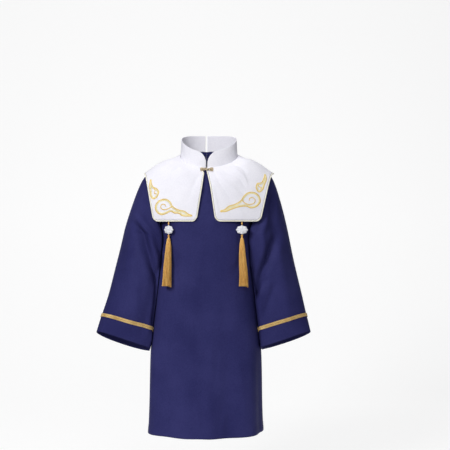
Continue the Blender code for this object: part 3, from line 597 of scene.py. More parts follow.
def growing_tree(name, start, sizes, finish):
    """A Geometry Nodes tree with a geometry, these sizes and a material as its inputs."""
    tree = bpy.data.node_groups.new(name, "GeometryNodeTree")
    face = tree.interface
    face.new_socket(start, in_out="INPUT", socket_type="NodeSocketGeometry")
    for label in sizes:
        face.new_socket(label, in_out="INPUT", socket_type="NodeSocketFloat")
    face.new_socket(finish, in_out="INPUT", socket_type="NodeSocketMaterial")
    face.new_socket("Grown", in_out="OUTPUT", socket_type="NodeSocketGeometry")
    return tree, tree.nodes.new("NodeGroupInput").outputs


def end_tree(tree, geometry, material):
    """Smooths what the tree has made, gives it its material and hands it out."""
    smooth = add_node(tree, "GeometryNodeSetShadeSmooth", {"Geometry": geometry})
    finish = {"Geometry": smooth.outputs["Geometry"], "Material": material}
    dyed = add_node(tree, "GeometryNodeSetMaterial", finish)
    add_node(tree, "NodeGroupOutput", {"Grown": dyed.outputs["Geometry"]})


def sewing_tree():
    """Stitches along a path: the path's points carry the cloth's outward direction, and every
    stitch is a rounded bar that lies on the cloth, turned from the path by an angle."""
    tree, given = growing_tree(
        "stitches along a path",
        "Path",
        ("Pitch", "Length", "Width", "Height", "Turn", "Sideways", "Waver"),
        "Thread",
    )

    def add(kind, inputs, **settings):
        return add_node(tree, kind, inputs, **settings).outputs

    line = add("GeometryNodeMeshToCurve", {"Mesh": given["Path"]})["Curve"]
    spaced = {"Curve": line, "Length": given["Pitch"]}
    even = add("GeometryNodeResampleCurve", spaced, mode="LENGTH")["Curve"]
    tangent = add("GeometryNodeInputTangent", {})["Tangent"]
    carried = add("GeometryNodeInputNamedAttribute", {"Name": "outward"}, data_type="FLOAT_VECTOR")
    outward = carried["Attribute"]
    beside = add("ShaderNodeVectorMath", {0: outward, 1: tangent}, operation="CROSS_PRODUCT")[0]
    chance = add("FunctionNodeRandomValue", {2: -1.0, 3: 1.0, "Seed": 7}, data_type="FLOAT")[1]
    waver = maths(tree, "MULTIPLY_ADD", chance, given["Waver"], given["Sideways"])
    offset = add("ShaderNodeVectorMath", {0: beside, "Scale": waver}, operation="SCALE")[0]
    placed = add("GeometryNodeSetPosition", {"Geometry": even, "Offset": offset})["Geometry"]
    bar = add("GeometryNodeMeshUVSphere", {"Segments": 6, "Rings": 4, "Radius": 0.5})["Mesh"]
    sides = {0: given["Length"], 1: given["Width"], 2: given["Height"]}
    size = add("ShaderNodeCombineXYZ", sides)[0]
    shaped = add("GeometryNodeTransform", {"Geometry": bar, "Scale": size})["Geometry"]
    align = "FunctionNodeAlignRotationToVector"
    along = add(align, {"Vector": tangent}, axis="X")["Rotation"]
    flat_on = add(align, {"Rotation": along, "Vector": outward}, axis="Z", pivot_axis="X")
    turn = add("FunctionNodeAxisAngleToRotation", {"Axis": (0, 0, 1), "Angle": given["Turn"]})
    slanted = {"Rotation": flat_on["Rotation"], "Rotate By": turn["Rotation"]}
    turned_on = add("FunctionNodeRotateRotation", slanted, rotation_space="LOCAL")["Rotation"]
    laid = {"Points": placed, "Instance": shaped, "Rotation": turned_on}
    many = add("GeometryNodeInstanceOnPoints", laid)["Instances"]
    real = add("GeometryNodeRealizeInstances", {"Geometry": many})["Geometry"]
    end_tree(tree, real, given["Thread"])
    return tree


stitches = sewing_tree()


def grow(item, tree, values):
    """Runs a Geometry Nodes tree on the object and leaves its result as a plain mesh."""
    modifier = item.modifiers.new("Grown", "NODES")
    modifier.node_group = tree
    for socket in tree.interface.items_tree:
        if socket.in_out == "INPUT" and socket.name in values:
            modifier[socket.identifier] = values[socket.name]
    shaped = item.evaluated_get(bpy.context.evaluated_depsgraph_get())
    mesh = bpy.data.meshes.new_from_object(shaped)
    item.modifiers.remove(modifier)
    bare = item.data
    item.data = mesh
    bpy.data.meshes.remove(bare)
    return item


Stitch = namedtuple("Stitch", "pitch length width height")


def sew(name, lines, thread, stitch, turn=0.0, sideways=0.0, waver=0.0):
    """Stitches on the cloth along each line, a list of (point, outward) pairs. All sizes are in
    millimetres, and turn is the angle between the stitches and the line."""
    mesh = bpy.data.meshes.new(name)
    points = []
    edges = []
    outwards = []
    for line in lines:
        edges += [(len(points) + k, len(points) + k + 1) for k in range(len(line) - 1)]
        points += [point for point, _ in line]
        outwards += [value for _, outward in line for value in outward]
    mesh.from_pydata(points, edges, [])
    carried = mesh.attributes.new("outward", "FLOAT_VECTOR", "POINT")
    carried.data.foreach_set("vector", outwards)
    values = {
        "Pitch": stitch.pitch * MM,
        "Length": stitch.length * MM,
        "Width": stitch.width * MM,
        "Height": stitch.height * MM,
        "Turn": turn,
        "Sideways": sideways * MM,
        "Waver": waver * MM,
        "Thread": thread,
    }
    return grow(put(name, mesh), stitches, values)


def on_surface(surface, u, v, out=0.0, flip=False):
    """A point just off the surface, with the outward direction there."""
    d = 0.002
    across = surface(min(1.0, u + d), v) - surface(max(0.0, u - d), v)
    up = surface(u, min(1.0, v + d)) - surface(u, max(0.0, v - d))
    outward = across.cross(up).normalized() * (-1 if flip else 1)
    return surface(u, v) + outward * out, outward


LOCKSTITCH = Stitch(3.2, 2.5, 0.55, 0.45)
hem_share = 0.5 * HEM_STITCH / (ARMHOLE_LEVEL - ARMHOLE_HALF_HEIGHT - TRUNK[0].level)
hem_lines = [
    [on_surface(panel, 0.004 + 0.992 * k / 160, hem_share, 0.1 * MM) for k in range(161)]
    for panel in (front_panel, back_panel(1), back_panel(-1))
]
hem_row = sew("hem_stitching", hem_lines, navy_thread, LOCKSTITCH)
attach(hem_row, "root")


# The sleeves
# Wide bell sleeves of the same cloth, sewn round the armhole. Each hangs beside the trunk and
# rests on it, and creases at the elbow where the arm would bend.
SleeveSection = namedtuple("SleeveSection", "level out fore half_width half_depth rise lift skew")
RIGHT_SLEEVE = [
    SleeveSection(-240, 184, 6, 54, 72, 12, 4, 36),
    SleeveSection(-330, 196, 8, 66, 68, 16, 6, 30),
    SleeveSection(-430, 211.5, 10, 76, 60, 21, 10, 26),
    SleeveSection(-500, 228, 12, 82, 54, 24, 13, 20),
    SleeveSection(-553, 241.5, 12, 84.5, 50, 28, 16, 15),
]
LEFT_SLEEVE = [
    SleeveSection(-240, 184, 6, 54, 72, 12, 4, 34),
    SleeveSection(-330, 194.5, 8, 64, 68, 16, 5, 28),
    SleeveSection(-430, 211, 10, 72, 60, 21, 8, 24),
    SleeveSection(-500, 224, 12, 76, 54, 24, 11, 18),
    SleeveSection(-551, 233, 12, 79.5, 50, 27, 13, 14),
]
SLEEVE_SQUARE = 2.15
SLEEVE_CLEARANCE = 2.8
SEAM = 0.3 * MM
CAP_EASE = 0.6
CAP_TOP = {-1: (0.94, -0.34), 1: (0.82, -0.57)}
CAP_FOOT = (0.22, -0.88)
CUFF_SEAM = 1.83
SLEEVE_RUN = 310 * MM
SLEEVE_GIRTH = 400
FRONT_DROP = 9 * MM
SLEEVE_UNEVEN = 0.9
CUFF_PUCKER = 1.1

# The sleeves' creases lie in turns round from the outer edge over the front, and in steps down:
# 0 the armhole, 1 the armpit, 2 the hem.
RIGHT_SLEEVE_CREASES = [
    Crease(0.08, 0.88, 0.32, 1.38, 12, -20),
    Crease(0.13, 0.80, 0.34, 1.30, 11, 7),
    Crease(0.10, 0.72, 0.37, 1.22, 13, -5),
    Crease(0.13, 1.15, 0.21, 1.85, 18, 6),
    Crease(0.30, 1.35, 0.31, 1.88, 14, -6),
    Crease(0.58, 0.95, 0.72, 1.60, 15, -8),
    Crease(0.70, 0.80, 0.84, 1.40, 16, 7),
    Crease(0.34, 1.28, 0.385, 1.82, 13, -18),
    Crease(0.41, 1.86, 0.43, 1.98, 12, 4),
    Crease(0.15, 0.95, 0.30, 1.12, 6, -2.5),
    Crease(0.24, 0.42, 0.34, 0.72, 8, -3.0),
    Crease(0.06, 0.95, 0.12, 1.40, 9, 2.0),
    Crease(0.20, 1.45, 0.25, 1.80, 8, 2.2),
    Crease(0.62, 1.15, 0.66, 1.75, 8, 2.5),
    Crease(0.86, 1.10, 0.82, 1.70, 9, -2.5),
]
LEFT_SLEEVE_CREASES = [
    Crease(0.095, 0.40, 0.11, 1.05, 14, -12),
    Crease(0.11, 1.05, 0.32, 1.46, 12, -18),
    Crease(0.17, 0.75, 0.26, 1.30, 12, 8),
    Crease(0.20, 1.50, 0.30, 1.72, 8, -4),
    Crease(0.12, 1.10, 0.17, 1.85, 17, 6),
    Crease(0.25, 1.42, 0.38, 1.55, 12, -8),
    Crease(0.60, 0.90, 0.74, 1.65, 15, -8),
    Crease(0.72, 0.80, 0.86, 1.45, 16, 7),
    Crease(0.36, 1.35, 0.40, 1.95, 9, -10),
    Crease(0.20, 1.05, 0.24, 1.34, 7, 2.5),
    Crease(0.28, 1.40, 0.33, 1.72, 7, 2.5),
    Crease(0.07, 0.60, 0.11, 1.10, 9, 2.0),
    Crease(0.30, 0.40, 0.36, 0.66, 8, -3.0),
    Crease(0.64, 1.20, 0.67, 1.75, 8, 2.5),
    Crease(0.88, 1.05, 0.84, 1.65, 9, -2.5),
]


def armhole_point(side, turn):
    """A point of the armhole's edge: turns round from the top, over the front."""
    around = 2 * math.pi * turn
    level = ARMHOLE_LEVEL + ARMHOLE_HALF_HEIGHT * math.cos(around)
    angle = math.pi / 2 - ARMHOLE_HALF_ANGLE * math.sin(around)
    return trunk_point(side * angle, level, creased=False)


def sleeve_ring(side, turn, step):
    """A point of the sleeve below the armpit, with step from 1 at the armpit to 2 at its hem."""
    rows = LEFT_SLEEVE if side > 0 else RIGHT_SLEEVE
    level = rows[0].level + (step - 1) * (rows[-1].level - rows[0].level)
    row = between(rows, "level", level)
    s, c = on_oval(2 * math.pi * turn, SLEEVE_SQUARE)
    out = row.out + row.half_width * c - row.skew * s
    fore = row.fore + row.half_depth * s
    return Vector((side * out, -fore, level + row.rise * c + row.lift * s)) * MM


def sleeve_cap(side, turn, step):
    """A point of the sleeve's head, which curves from the armhole to the armpit's ring."""
    start = armhole_point(side, turn)
    end = sleeve_ring(side, turn, 1.0)
    onward = (sleeve_ring(side, turn, 1.02) - end).normalized()
    around = 2 * math.pi * turn
    high = 0.5 + 0.5 * math.cos(around)
    out = CAP_FOOT[0] + (CAP_TOP[side][0] - CAP_FOOT[0]) * high
    down = CAP_FOOT[1] + (CAP_TOP[side][1] - CAP_FOOT[1]) * high
    leaving = Vector((side * out, -0.25 * math.sin(around), down)).normalized()
    start = start + leaving * (ROBE_WALL + SEAM)
    chord = (end - start).length
    t = step
    return (
        start * (1 + 2 * t) * (1 - t) ** 2
        + leaving * chord * CAP_EASE * t * (1 - t) ** 2
        + end * t * t * (3 - 2 * t)
        - onward * chord * t * t * (1 - t)
    )


def beside_trunk(point):
    """Moves a sleeve's point out where it would be in the trunk, so that it rests on it."""
    level = point.z / MM
    row = between(TRUNK, "level", level)
    depth = row.front if point.y < 0 else row.back
    share = min(1.0, abs(point.y) / MM / depth)
    out = row.half_width * (1 - share**row.square) ** (1 / row.square)
    around = math.atan2(out / row.half_width, -point.y / MM / depth)
    out += trunk_relief(math.copysign(around, point.x), level) + SLEEVE_CLEARANCE
    soft = 5.0
    now = abs(point.x) / MM
    moved = 0.5 * (now + out + math.sqrt((now - out) ** 2 + soft * soft))
    share = smoothstep(-120, -165, level) * smoothstep(-2, 3, out - now + soft)
    moved = now + (moved - now) * share
    return Vector((math.copysign(moved * MM, point.x), point.y, point.z))


def sleeve_bare(side, turn, step):
    if step < 1:
        return sleeve_cap(side, turn, max(0.0, step))
    return sleeve_ring(side, turn, step)


def on_circle(angle):
    return Vector((math.cos(angle), math.sin(angle), 0))


def sleeve_relief(side, turn, step):
    """How far the creases raise the sleeve here, in metres."""
    creases = LEFT_SLEEVE_CREASES if side > 0 else RIGHT_SLEEVE_CREASES
    relief = crease_relief(creases, turn % 1.0, step, SLEEVE_GIRTH, SLEEVE_RUN / MM)
    spot = on_circle(2 * math.pi * turn)
    relief += SLEEVE_UNEVEN * noise.noise(spot * 1.6 + Vector((0, 0, 2.6 * step + side)))
    puckers = noise.noise(spot * 9 + Vector((0, 0, 4 * step + side)))
    relief += CUFF_PUCKER * puckers * smoothstep(1.8, 1.9, step)
    return relief * smoothstep(0.0, 0.5, step) * MM


def sleeve_point(side, turn, step, out=0.0):
    d = 0.004
    across = sleeve_bare(side, turn + d, step) - sleeve_bare(side, turn - d, step)
    down = sleeve_bare(side, turn, step + d) - sleeve_bare(side, turn, max(0.0, step - d))
    outward = across.cross(down).normalized() * side
    point = sleeve_bare(side, turn, step) + outward * sleeve_relief(side, turn, step)
    rested = point.lerp(beside_trunk(point), smoothstep(0.0, 0.25, step))
    front = max(0.0, math.sin(2 * math.pi * turn)) ** 1.3
    rested.z -= FRONT_DROP * front * smoothstep(1.45, 2.0, step)
    return rested + outward * out


def sleeve_part(side, start, end, out=0.0):
    """The surface of a stretch of the sleeve: u round it, v down it."""

    def surface(u, v):
        return sleeve_point(side, u, start + (end - start) * v, out)

    return surface


SLEEVE_CUT = (0.48, 0.55)
CUFF_CUT = (0.46, 0.055)
seam_step = SEAM / SLEEVE_RUN
for side, word in SIDES.items():
    sleeve = cloth_shell(
        "sleeve_" + word + "_cloth",
        sleeve_part(side, 0.0, CUFF_SEAM - seam_step),
        (112, 110),
        SLEEVE_CUT,
        ROBE_WALL,
        navy_satin,
        closed=True,
        flip=side < 0,
    )
    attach(sleeve, "root")
    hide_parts("sleeve_" + word)
    cuff = cloth_shell(
        "cuff_" + word + "_cloth",
        sleeve_part(side, CUFF_SEAM + seam_step, 2.0),
        (112, 14),
        CUFF_CUT,
        ROBE_WALL,
        navy_satin,
        closed=True,
        flip=side < 0,
    )
    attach(cuff, "root")
    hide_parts("cuff_" + word)


# The cuffs' braid
# Woven gold braid 10 mm wide, laid over the seam between sleeve and cuff: two cords at its edges,
# and between them two rows of slanting plaits on a flat gold tape.
BRAID_WIDTH = 10 * MM
BRAID_WALL = 1.0 * MM
BRAID_LIFT = 0.75 * MM + BRAID_WALL
BraidRow = namedtuple("BraidRow", "sideways turn length pitch")
BRAID_ROWS = [
    BraidRow(-4.3, 0.3, 2.6, 1.5),
    BraidRow(4.3, -0.3, 2.6, 1.5),
    BraidRow(-1.9, 0.85, 4.4, 1.7),
    BraidRow(1.9, -0.85, 4.4, 1.7),
]
gold_braid = thread_material(
    "gold braid", (0.60, 0.38, 0.11), (0.96, 0.73, 0.33), (0.28, 0.5), metallic=0.25, twist=1500
)
gold_tape = thread_material(
    "gold tape", (0.40, 0.23, 0.06), (0.62, 0.41, 0.14), (0.35, 0.6), metallic=0.25, twist=1500
)


def join_pieces(name, items):
    """Joins finished meshes into one object, keeping each one's materials."""
    work = bmesh.new()
    mesh = bpy.data.meshes.new(name)
    slots = []
    for item in items:
        shaped = item.evaluated_get(bpy.context.evaluated_depsgraph_get())
        part = bpy.data.meshes.new_from_object(shaped)
        for polygon in part.polygons:
            used = part.materials[polygon.material_index]
            if used not in slots:
                slots.append(used)
        numbers = [slots.index(m) if m in slots else 0 for m in part.materials]
        for polygon in part.polygons:
            polygon.material_index = numbers[polygon.material_index]
        work.from_mesh(part)
        bpy.data.meshes.remove(part)
        bpy.data.objects.remove(item)
    work.to_mesh(mesh)
    work.free()
    for used in slots:
        mesh.materials.append(used)
    return put(name, mesh)


band = 0.5 * BRAID_WIDTH / SLEEVE_RUN
for side, word in SIDES.items():
    braid_ground = sleeve_part(side, CUFF_SEAM - band, CUFF_SEAM + band, BRAID_LIFT)
    tape = cloth_shell(
        "tape_" + word,
        braid_ground,
        (112, 4),
        (0.44, BRAID_WIDTH),
        BRAID_WALL,
        gold_tape,
        closed=True,
        flip=side < 0,
    )
    braid_pieces = [tape]
    turns = [0.001] + [k / 224 for k in range(1, 224)] + [0.999]
    line = [on_surface(braid_ground, u, 0.5, 0.15 * MM, flip=side < 0) for u in turns]
    for row in BRAID_ROWS:
        plait = Stitch(row.pitch, row.length, 1.25, 0.9)
        name = f"plaits_{word}_{len(braid_pieces)}"
        braid_pieces.append(sew(name, [line], gold_braid, plait, row.turn, row.sideways))
    braid = join_pieces("braid_" + word + "_gold", braid_pieces)
    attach(braid, "root")
    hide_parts("braid_" + word)


# The cape
# Off-white lined cloth in two halves that meet at the throat and lie open below it. It drapes
# from the collar over both shoulders, with a narrow gap down the back.
CapeSection = namedtuple("CapeSection", "out ridge front back")
CAPE = [
    CapeSection(0, -12, 113, 105),
    CapeSection(60, 0, 107, 101),
    CapeSection(85, 5, 101, 97),
    CapeSection(120, -9.5, 92, 89),
    CapeSection(151, -25, 82, 80),
    CapeSection(191, -53, 70, 68),
]
CAPE_WALL = 2.0 * MM
CAPE_SQUARE_FRONT = 2.3
CAPE_SQUARE_BACK = 3.0
CAPE_HEM = -193
CAPE_CORNER = 11
CAPE_TIP = 191
CAPE_FOOT = {-1: 157, 1: 148}
CAPE_THROAT = 4.8
CAPE_NECK_LAY = 0.42
CAPE_OPENING = {-1: 33.5, 1: 27.5}
CAPE_BACK_OPENING = 5.2
CAPE_HEM_SHARE = 0.34
PIPING_RADIUS = 1.9 * MM
CollarRing = namedtuple("CollarRing", "half_width front back side tilt dip")
COLLAR_BASE = CollarRing(85.5, 56, 50, -2.2, 28, 9)

# Soft wrinkles, in shares round the half from centre front to centre back and shares down it.
CAPE_CREASES = {
    1: [
        Crease(0.06, 0.16, 0.16, 0.75, 7, -2.0),
        Crease(0.09, 0.14, 0.22, 0.70, 6, 1.7),
        Crease(0.14, 0.12, 0.28, 0.55, 7, -2.2),
        Crease(0.20, 0.10, 0.33, 0.50, 7, 1.8),
        Crease(0.26, 0.10, 0.38, 0.42, 7, -2.0),
        Crease(0.03, 0.40, 0.05, 0.85, 6, 1.4),
        Crease(0.18, 0.72, 0.20, 0.98, 6, 1.3),
        Crease(0.13, 0.78, 0.14, 0.98, 5, -1.2),
        Crease(0.66, 0.20, 0.72, 0.90, 8, 2.2),
        Crease(0.78, 0.25, 0.84, 0.90, 8, -2.2),
        Crease(0.90, 0.30, 0.92, 0.90, 7, 1.8),
    ],
    -1: [
        Crease(0.07, 0.20, 0.13, 0.70, 8, -1.3),
        Crease(0.17, 0.15, 0.27, 0.55, 8, 1.2),
        Crease(0.24, 0.12, 0.36, 0.45, 8, -1.4),
        Crease(0.68, 0.20, 0.74, 0.90, 8, -2.0),
        Crease(0.80, 0.25, 0.85, 0.90, 8, 2.2),
        Crease(0.91, 0.30, 0.93, 0.90, 7, -1.8),
    ],
}


def neck_ring(ring, angle):
    """A point of a collar ring: angle round from centre front."""
    s = math.sin(angle)
    c = math.cos(angle)
    depth = ring.front if c > 0 else ring.back
    point = Vector(
        (ring.half_width * s, -depth * c, ring.side - ring.tilt * c - ring.dip * c * c)
    )
    return shift_yoke(point * MM)


def cape_drape(out, lay):
    """The cape's inner face: millimetres out from the centre line, and lay from -1 at the
    front hem over 0 at the shoulder's ridge to 1 at the back hem."""
    row = between(CAPE, "out", abs(out))
    square = CAPE_SQUARE_FRONT if lay < 0 else CAPE_SQUARE_BACK
    s, c = on_oval(lay * math.pi / 2, square)
    depth = row.front if lay < 0 else row.back
    height = row.ridge - CAPE_HEM
    return shift_yoke(Vector((out, depth * s, CAPE_HEM + height * c)) * MM)


def round_corner(edge, hem, radius):
    """Moves a point near a square corner so that the corner becomes round. Both distances
    are from the corner's two sides."""
    if edge >= radius or hem >= radius:
        return edge, hem
    p = 1 - edge / radius
    q = 1 - hem / radius
    round_p = p * math.sqrt(1 - q * q / 2)
    round_q = q * math.sqrt(1 - p * p / 2)
    return radius * (1 - round_p), radius * (1 - round_q)


def cape_inner_edge(side, lay):
    """How far out the edge at the front or back opening lies, in millimetres."""
    if lay > 0:
        return CAPE_BACK_OPENING
    below = max(0.0, (abs(lay) - CAPE_NECK_LAY) / (1 - CAPE_NECK_LAY))
    return CAPE_THROAT + (CAPE_OPENING[side] - CAPE_THROAT) * below


def cape_outer_edge(side, lay):
    """How far out the edge on the shoulder lies, in millimetres."""
    foot = CAPE_FOOT[side]
    return foot + (CAPE_TIP - foot) * (1 - abs(lay) ** 1.4)


def cape_place(side, u, v):
    """Distance out and lay of a point of one half of the cape: u runs from centre front over
    the shoulder to centre back, and v from the neck to the outer edge."""
    u = min(1.0, max(0.0, u))
    around = math.pi * u
    neck_lay = -CAPE_NECK_LAY * math.cos(around)
    inner = CAPE_THROAT if u < 0.5 else CAPE_BACK_OPENING
    neck_out = max(COLLAR_BASE.half_width * math.sin(around), inner)
    front = -1 if u < 0.5 else 1
    along_hem = min(u, 1 - u) / CAPE_HEM_SHARE
    if along_hem < 1:
        edge_lay = front
        start = cape_inner_edge(side, edge_lay)
        width = CAPE_FOOT[side] - start
        edge_out = start + width * (0.5 - 0.5 * math.cos(math.pi * along_hem))
    else:
        along = (u - CAPE_HEM_SHARE) / (1 - 2 * CAPE_HEM_SHARE)
        edge_lay = -math.cos(math.pi * along)
        edge_out = cape_outer_edge(side, edge_lay)
    out = neck_out + (edge_out - neck_out) * v
    lay = neck_lay + (edge_lay - neck_lay) * v
    per_lay = (between(CAPE, "out", out).ridge - CAPE_HEM) * math.pi / 2
    above_hem = (1 - abs(lay)) * per_lay
    from_inner = out - cape_inner_edge(side, lay)
    from_outer = cape_outer_edge(side, lay) - out
    if from_inner < from_outer:
        moved, above_hem = round_corner(max(0.0, from_inner), above_hem, CAPE_CORNER)
        out += moved - max(0.0, from_inner)
    else:
        moved, above_hem = round_corner(max(0.0, from_outer), above_hem, CAPE_CORNER)
        out -= moved - max(0.0, from_outer)
    return out, (1 - above_hem / per_lay) * (front if abs(lay) > 0.5 else math.copysign(1, lay))


def cape_bare(side, u, v):
    """The cape's inner face, drawn in to the collar's foot at its neck."""
    ease_rows = 0.45
    out, lay = cape_place(side, u, v)
    point = cape_drape(side * out, lay)
    neck_out, neck_lay = cape_place(side, u, 0.0)
    seat = neck_ring(COLLAR_BASE, side * math.pi * u)
    away = Vector((seat.x - YOKE_SHIFT, seat.y, 0)).normalized()
    seat += away * (SEAM + 0.2 * MM)
    edge = (CAPE_THROAT if u < 0.5 else CAPE_BACK_OPENING) * MM
    seat.x = side * max(side * seat.x, edge)
    drawn = seat - cape_drape(side * neck_out, neck_lay)
    return point + drawn * (1 - smoothstep(0.0, ease_rows, v))


def cape_half(side):
    """The outer face of one half of the cape, with its wrinkles."""
    half_way = 420
    down_way = 165

    def surface(u, v):
        d = 0.004
        low_u, high_u = max(0.0, u - d), min(1.0, u + d)
        low_v, high_v = max(0.0, v - d), min(1.0, v + d)
        across = cape_bare(side, high_u, v) - cape_bare(side, low_u, v)
        down = cape_bare(side, u, high_v) - cape_bare(side, u, low_v)
        outward = down.cross(across).normalized() * side
        relief = crease_relief(CAPE_CREASES[side], u, v, half_way, down_way)
        inside = smoothstep(0.02, 0.2, v) * smoothstep(1.0, 0.93, v)
        inside *= smoothstep(0.0, 0.05, u) * smoothstep(1.0, 0.95, u)
        relief += 0.7 * noise.noise(Vector((7 * u, 4 * v, 3 + side)))
        return cape_bare(side, u, v) + outward * (CAPE_WALL + relief * inside * MM)

    return surface


# Its greyer white is painted shade and its paler white painted light, mixed in broad soft patches.
white_cloth = cloth_material(
    "white cape cloth",
    (0.80, 0.79, 0.86),
    (0.89, 0.88, 0.94),
    2100,
    (0.6, 0.75),
    0.12,
)
ivory_cord = thread_material(
    "ivory piping", (0.82, 0.79, 0.64), (0.97, 0.95, 0.85), (0.35, 0.55), twist=700
)
white_thread = thread_material(
    "white sewing thread", (0.78, 0.77, 0.83), (0.88, 0.87, 0.93), (0.4, 0.6)
)


def tube_along(name, points, radius, material, sides=8):
    """A round cord through these points, as a plain mesh with closed ends."""
    curve = bpy.data.curves.new(name, "CURVE")
    curve.dimensions = "3D"
    curve.bevel_depth = radius
    curve.bevel_resolution = sides // 2 - 2
    curve.use_fill_caps = True
    line = curve.splines.new("POLY")
    line.points.add(len(points) - 1)
    for spot, point in zip(line.points, points):
        spot.co = (*point, 1)
    drawn = put(name, curve)
    shaped = drawn.evaluated_get(bpy.context.evaluated_depsgraph_get())
    mesh = bpy.data.meshes.new_from_object(shaped)
    mesh.shade_smooth()
    mesh.materials.clear()
    mesh.materials.append(material)
    bpy.data.objects.remove(drawn)
    return put(name, mesh)


def cape_rim(surface, ground, inset):
    """The cape's free edge, or a line this far inside it, as (point, outward) pairs: down the
    front, round the hem, and up the back."""
    count = 40
    spots = [(0.0, 0.03 + 0.97 * k / count) for k in range(count)]
    spots += [(k / (6 * count), 1.0) for k in range(6 * count + 1)]
    spots += [(1.0, 0.03 + 0.97 * (count - 1 - k) / count) for k in range(count)]
    edge = [surface(u, v) for u, v in spots]
    line = []
    for k, (u, v) in enumerate(spots):
        before = edge[k] - edge[max(0, k - 1)]
        after = edge[min(len(edge) - 1, k + 1)] - edge[k]
        tangent = (before + after).normalized()
        inner_u = min(0.985, max(0.015, u))
        inward = surface(inner_u, min(0.96, v)) - edge[k]
        inward = (inward - tangent * inward.dot(tangent)).normalized()
        if inset > 0:
            point, outward, _, _ = ground.find_nearest(edge[k] + inward * inset)
        else:
            point = edge[k] + inward * inset
            outward = inward.cross(tangent)
        if outward.dot(Vector((0, 1 if u > 0.5 else -1, 1.2))) < 0:
            outward = -outward
        line.append((point, outward))
    return line


CAPE_CUT = (0.46, 0.24)
cape_ground = {}
for side, word in SIDES.items():
    surface = cape_half(side)
    cape = cloth_shell(
        "cape_" + word + "_cloth",
        surface,
        (180, 60),
        CAPE_CUT,
        CAPE_WALL,
        white_cloth,
        flip=side > 0,
        edge=0.022,
    )
    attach(cape, "root")
    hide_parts("cape_" + word)
    ground = BVHTree.FromPolygons(
        [vertex.co for vertex in cape.data.vertices],
        [polygon.vertices for polygon in cape.data.polygons],
    )
    cape_ground[side] = ground
    cord_line = cape_rim(surface, ground, -(PIPING_RADIUS + 0.45 * MM))
    piping = tube_along(
        "piping_" + word + "_cord",
        [point - outward * 0.5 * CAPE_WALL for point, outward in cord_line],
        PIPING_RADIUS,
        ivory_cord,
        sides=10,
    )
    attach(piping, "root")
    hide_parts("piping_" + word)
    stitch_line = [
        (point + outward * 0.1 * MM, outward)
        for point, outward in cape_rim(surface, ground, 5 * MM)
    ]
    cape_row = sew("cape_stitching_" + word, [stitch_line], white_thread, LOCKSTITCH)
    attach(cape_row, "root")


# The cape's embroidery
# A curling cloud with a long tail and a small wisp above it in each lower outer corner, the
# traditional sign of good fortune. The outline is gold satin stitch, with two paler rows inside.
gold_silk = thread_material(
    "gold embroidery silk", (0.78, 0.50, 0.09), (0.96, 0.75, 0.25), (0.3, 0.5), twist=1600
)
cream_silk = thread_material(
    "cream embroidery silk", (0.93, 0.80, 0.38), (0.99, 0.91, 0.58), (0.35, 0.55), twist=1600
)

OUTLINE_STITCH = Stitch(0.55, 3.3, 0.75, 1.0)
INSIDE_STITCH = Stitch(0.7, 2.8, 0.75, 0.5)

# Points of each stroke, in millimetres out from the middle and up from the hem.
Stroke = namedtuple("Stroke", "side closed points")
CLOUDS = [
    Stroke(
        -1,
        True,
        [
            (40, 15), (51, 20), (62, 28), (75, 31), (88, 36), (98, 44), (103, 54), (113, 62),
            (126, 63), (139, 57), (147, 45), (146, 31), (137, 21), (125, 19), (113, 23),
            (102, 28), (91, 23), (79, 22), (67, 15), (53, 14),
        ],
    ),
    Stroke(
        -1,
        False,
        [(98, 42), (107, 37), (117, 33), (127, 34), (132, 41), (128, 48), (120, 48), (117, 42)],
    ),
    Stroke(
        -1,
        True,
        [
            (163, 122), (160, 108), (154, 99), (144, 94), (138, 85), (140, 76), (146, 67),
            (156, 65), (162, 74), (164, 88), (166, 106),
        ],
    ),
    Stroke(-1, False, [(154, 98), (149, 90), (151, 81), (145, 79)]),
    Stroke(
        1,
        True,
        [
            (41, 28), (54, 33), (66, 43), (80, 47), (96, 55), (104, 63), (111, 74), (125, 83),
            (142, 82), (154, 72), (157, 56), (147, 43), (131, 38), (116, 43), (101, 42),
            (85, 38), (71, 33), (56, 27),
        ],
    ),
    Stroke(
        1,
        False,
        [(105, 61), (112, 52), (126, 48), (139, 52), (142, 61), (135, 68), (126, 66), (125, 59)],
    ),
    Stroke(
        1,
        True,
        [
            (173, 138), (176, 122), (170, 106), (166, 94), (157, 85), (149, 88), (145, 100),
            (150, 110), (161, 112), (168, 124),
        ],
    ),
    Stroke(1, False, [(150, 110), (153, 101), (160, 98), (159, 92)]),
]


def smooth_stroke(points, closed):
    """A smooth curve through the points, as more points."""
    steps = 10
    count = len(points)
    spans = count if closed else count - 1
    curve = []
    for k in range(spans):
        picks = [k - 1, k, k + 1, k + 2]
        if closed:
            picks = [i % count for i in picks]
        else:
            picks = [min(count - 1, max(0, i)) for i in picks]
        a, b, c, d = [Vector(points[i]) for i in picks]
        for step in range(steps):
            t = step / steps
            curve.append(
                0.5 * (2 * b + (c - a) * t + (2 * a - 5 * b + 4 * c - d) * t**2)
                + 0.5 * (3 * b - a - 3 * c + d) * t**3
            )
    curve.append(Vector(points[0] if closed else points[-1]))
    return curve


def sewn_leftwards(points, side):
    """The points in the order that keeps the inside of a closed stroke on the same hand."""
    around = zip(points, points[1:] + points[:1])
    turning = sum(a[0] * b[1] - b[0] * a[1] for a, b in around) * side
    return points if turning > 0 else points[::-1]


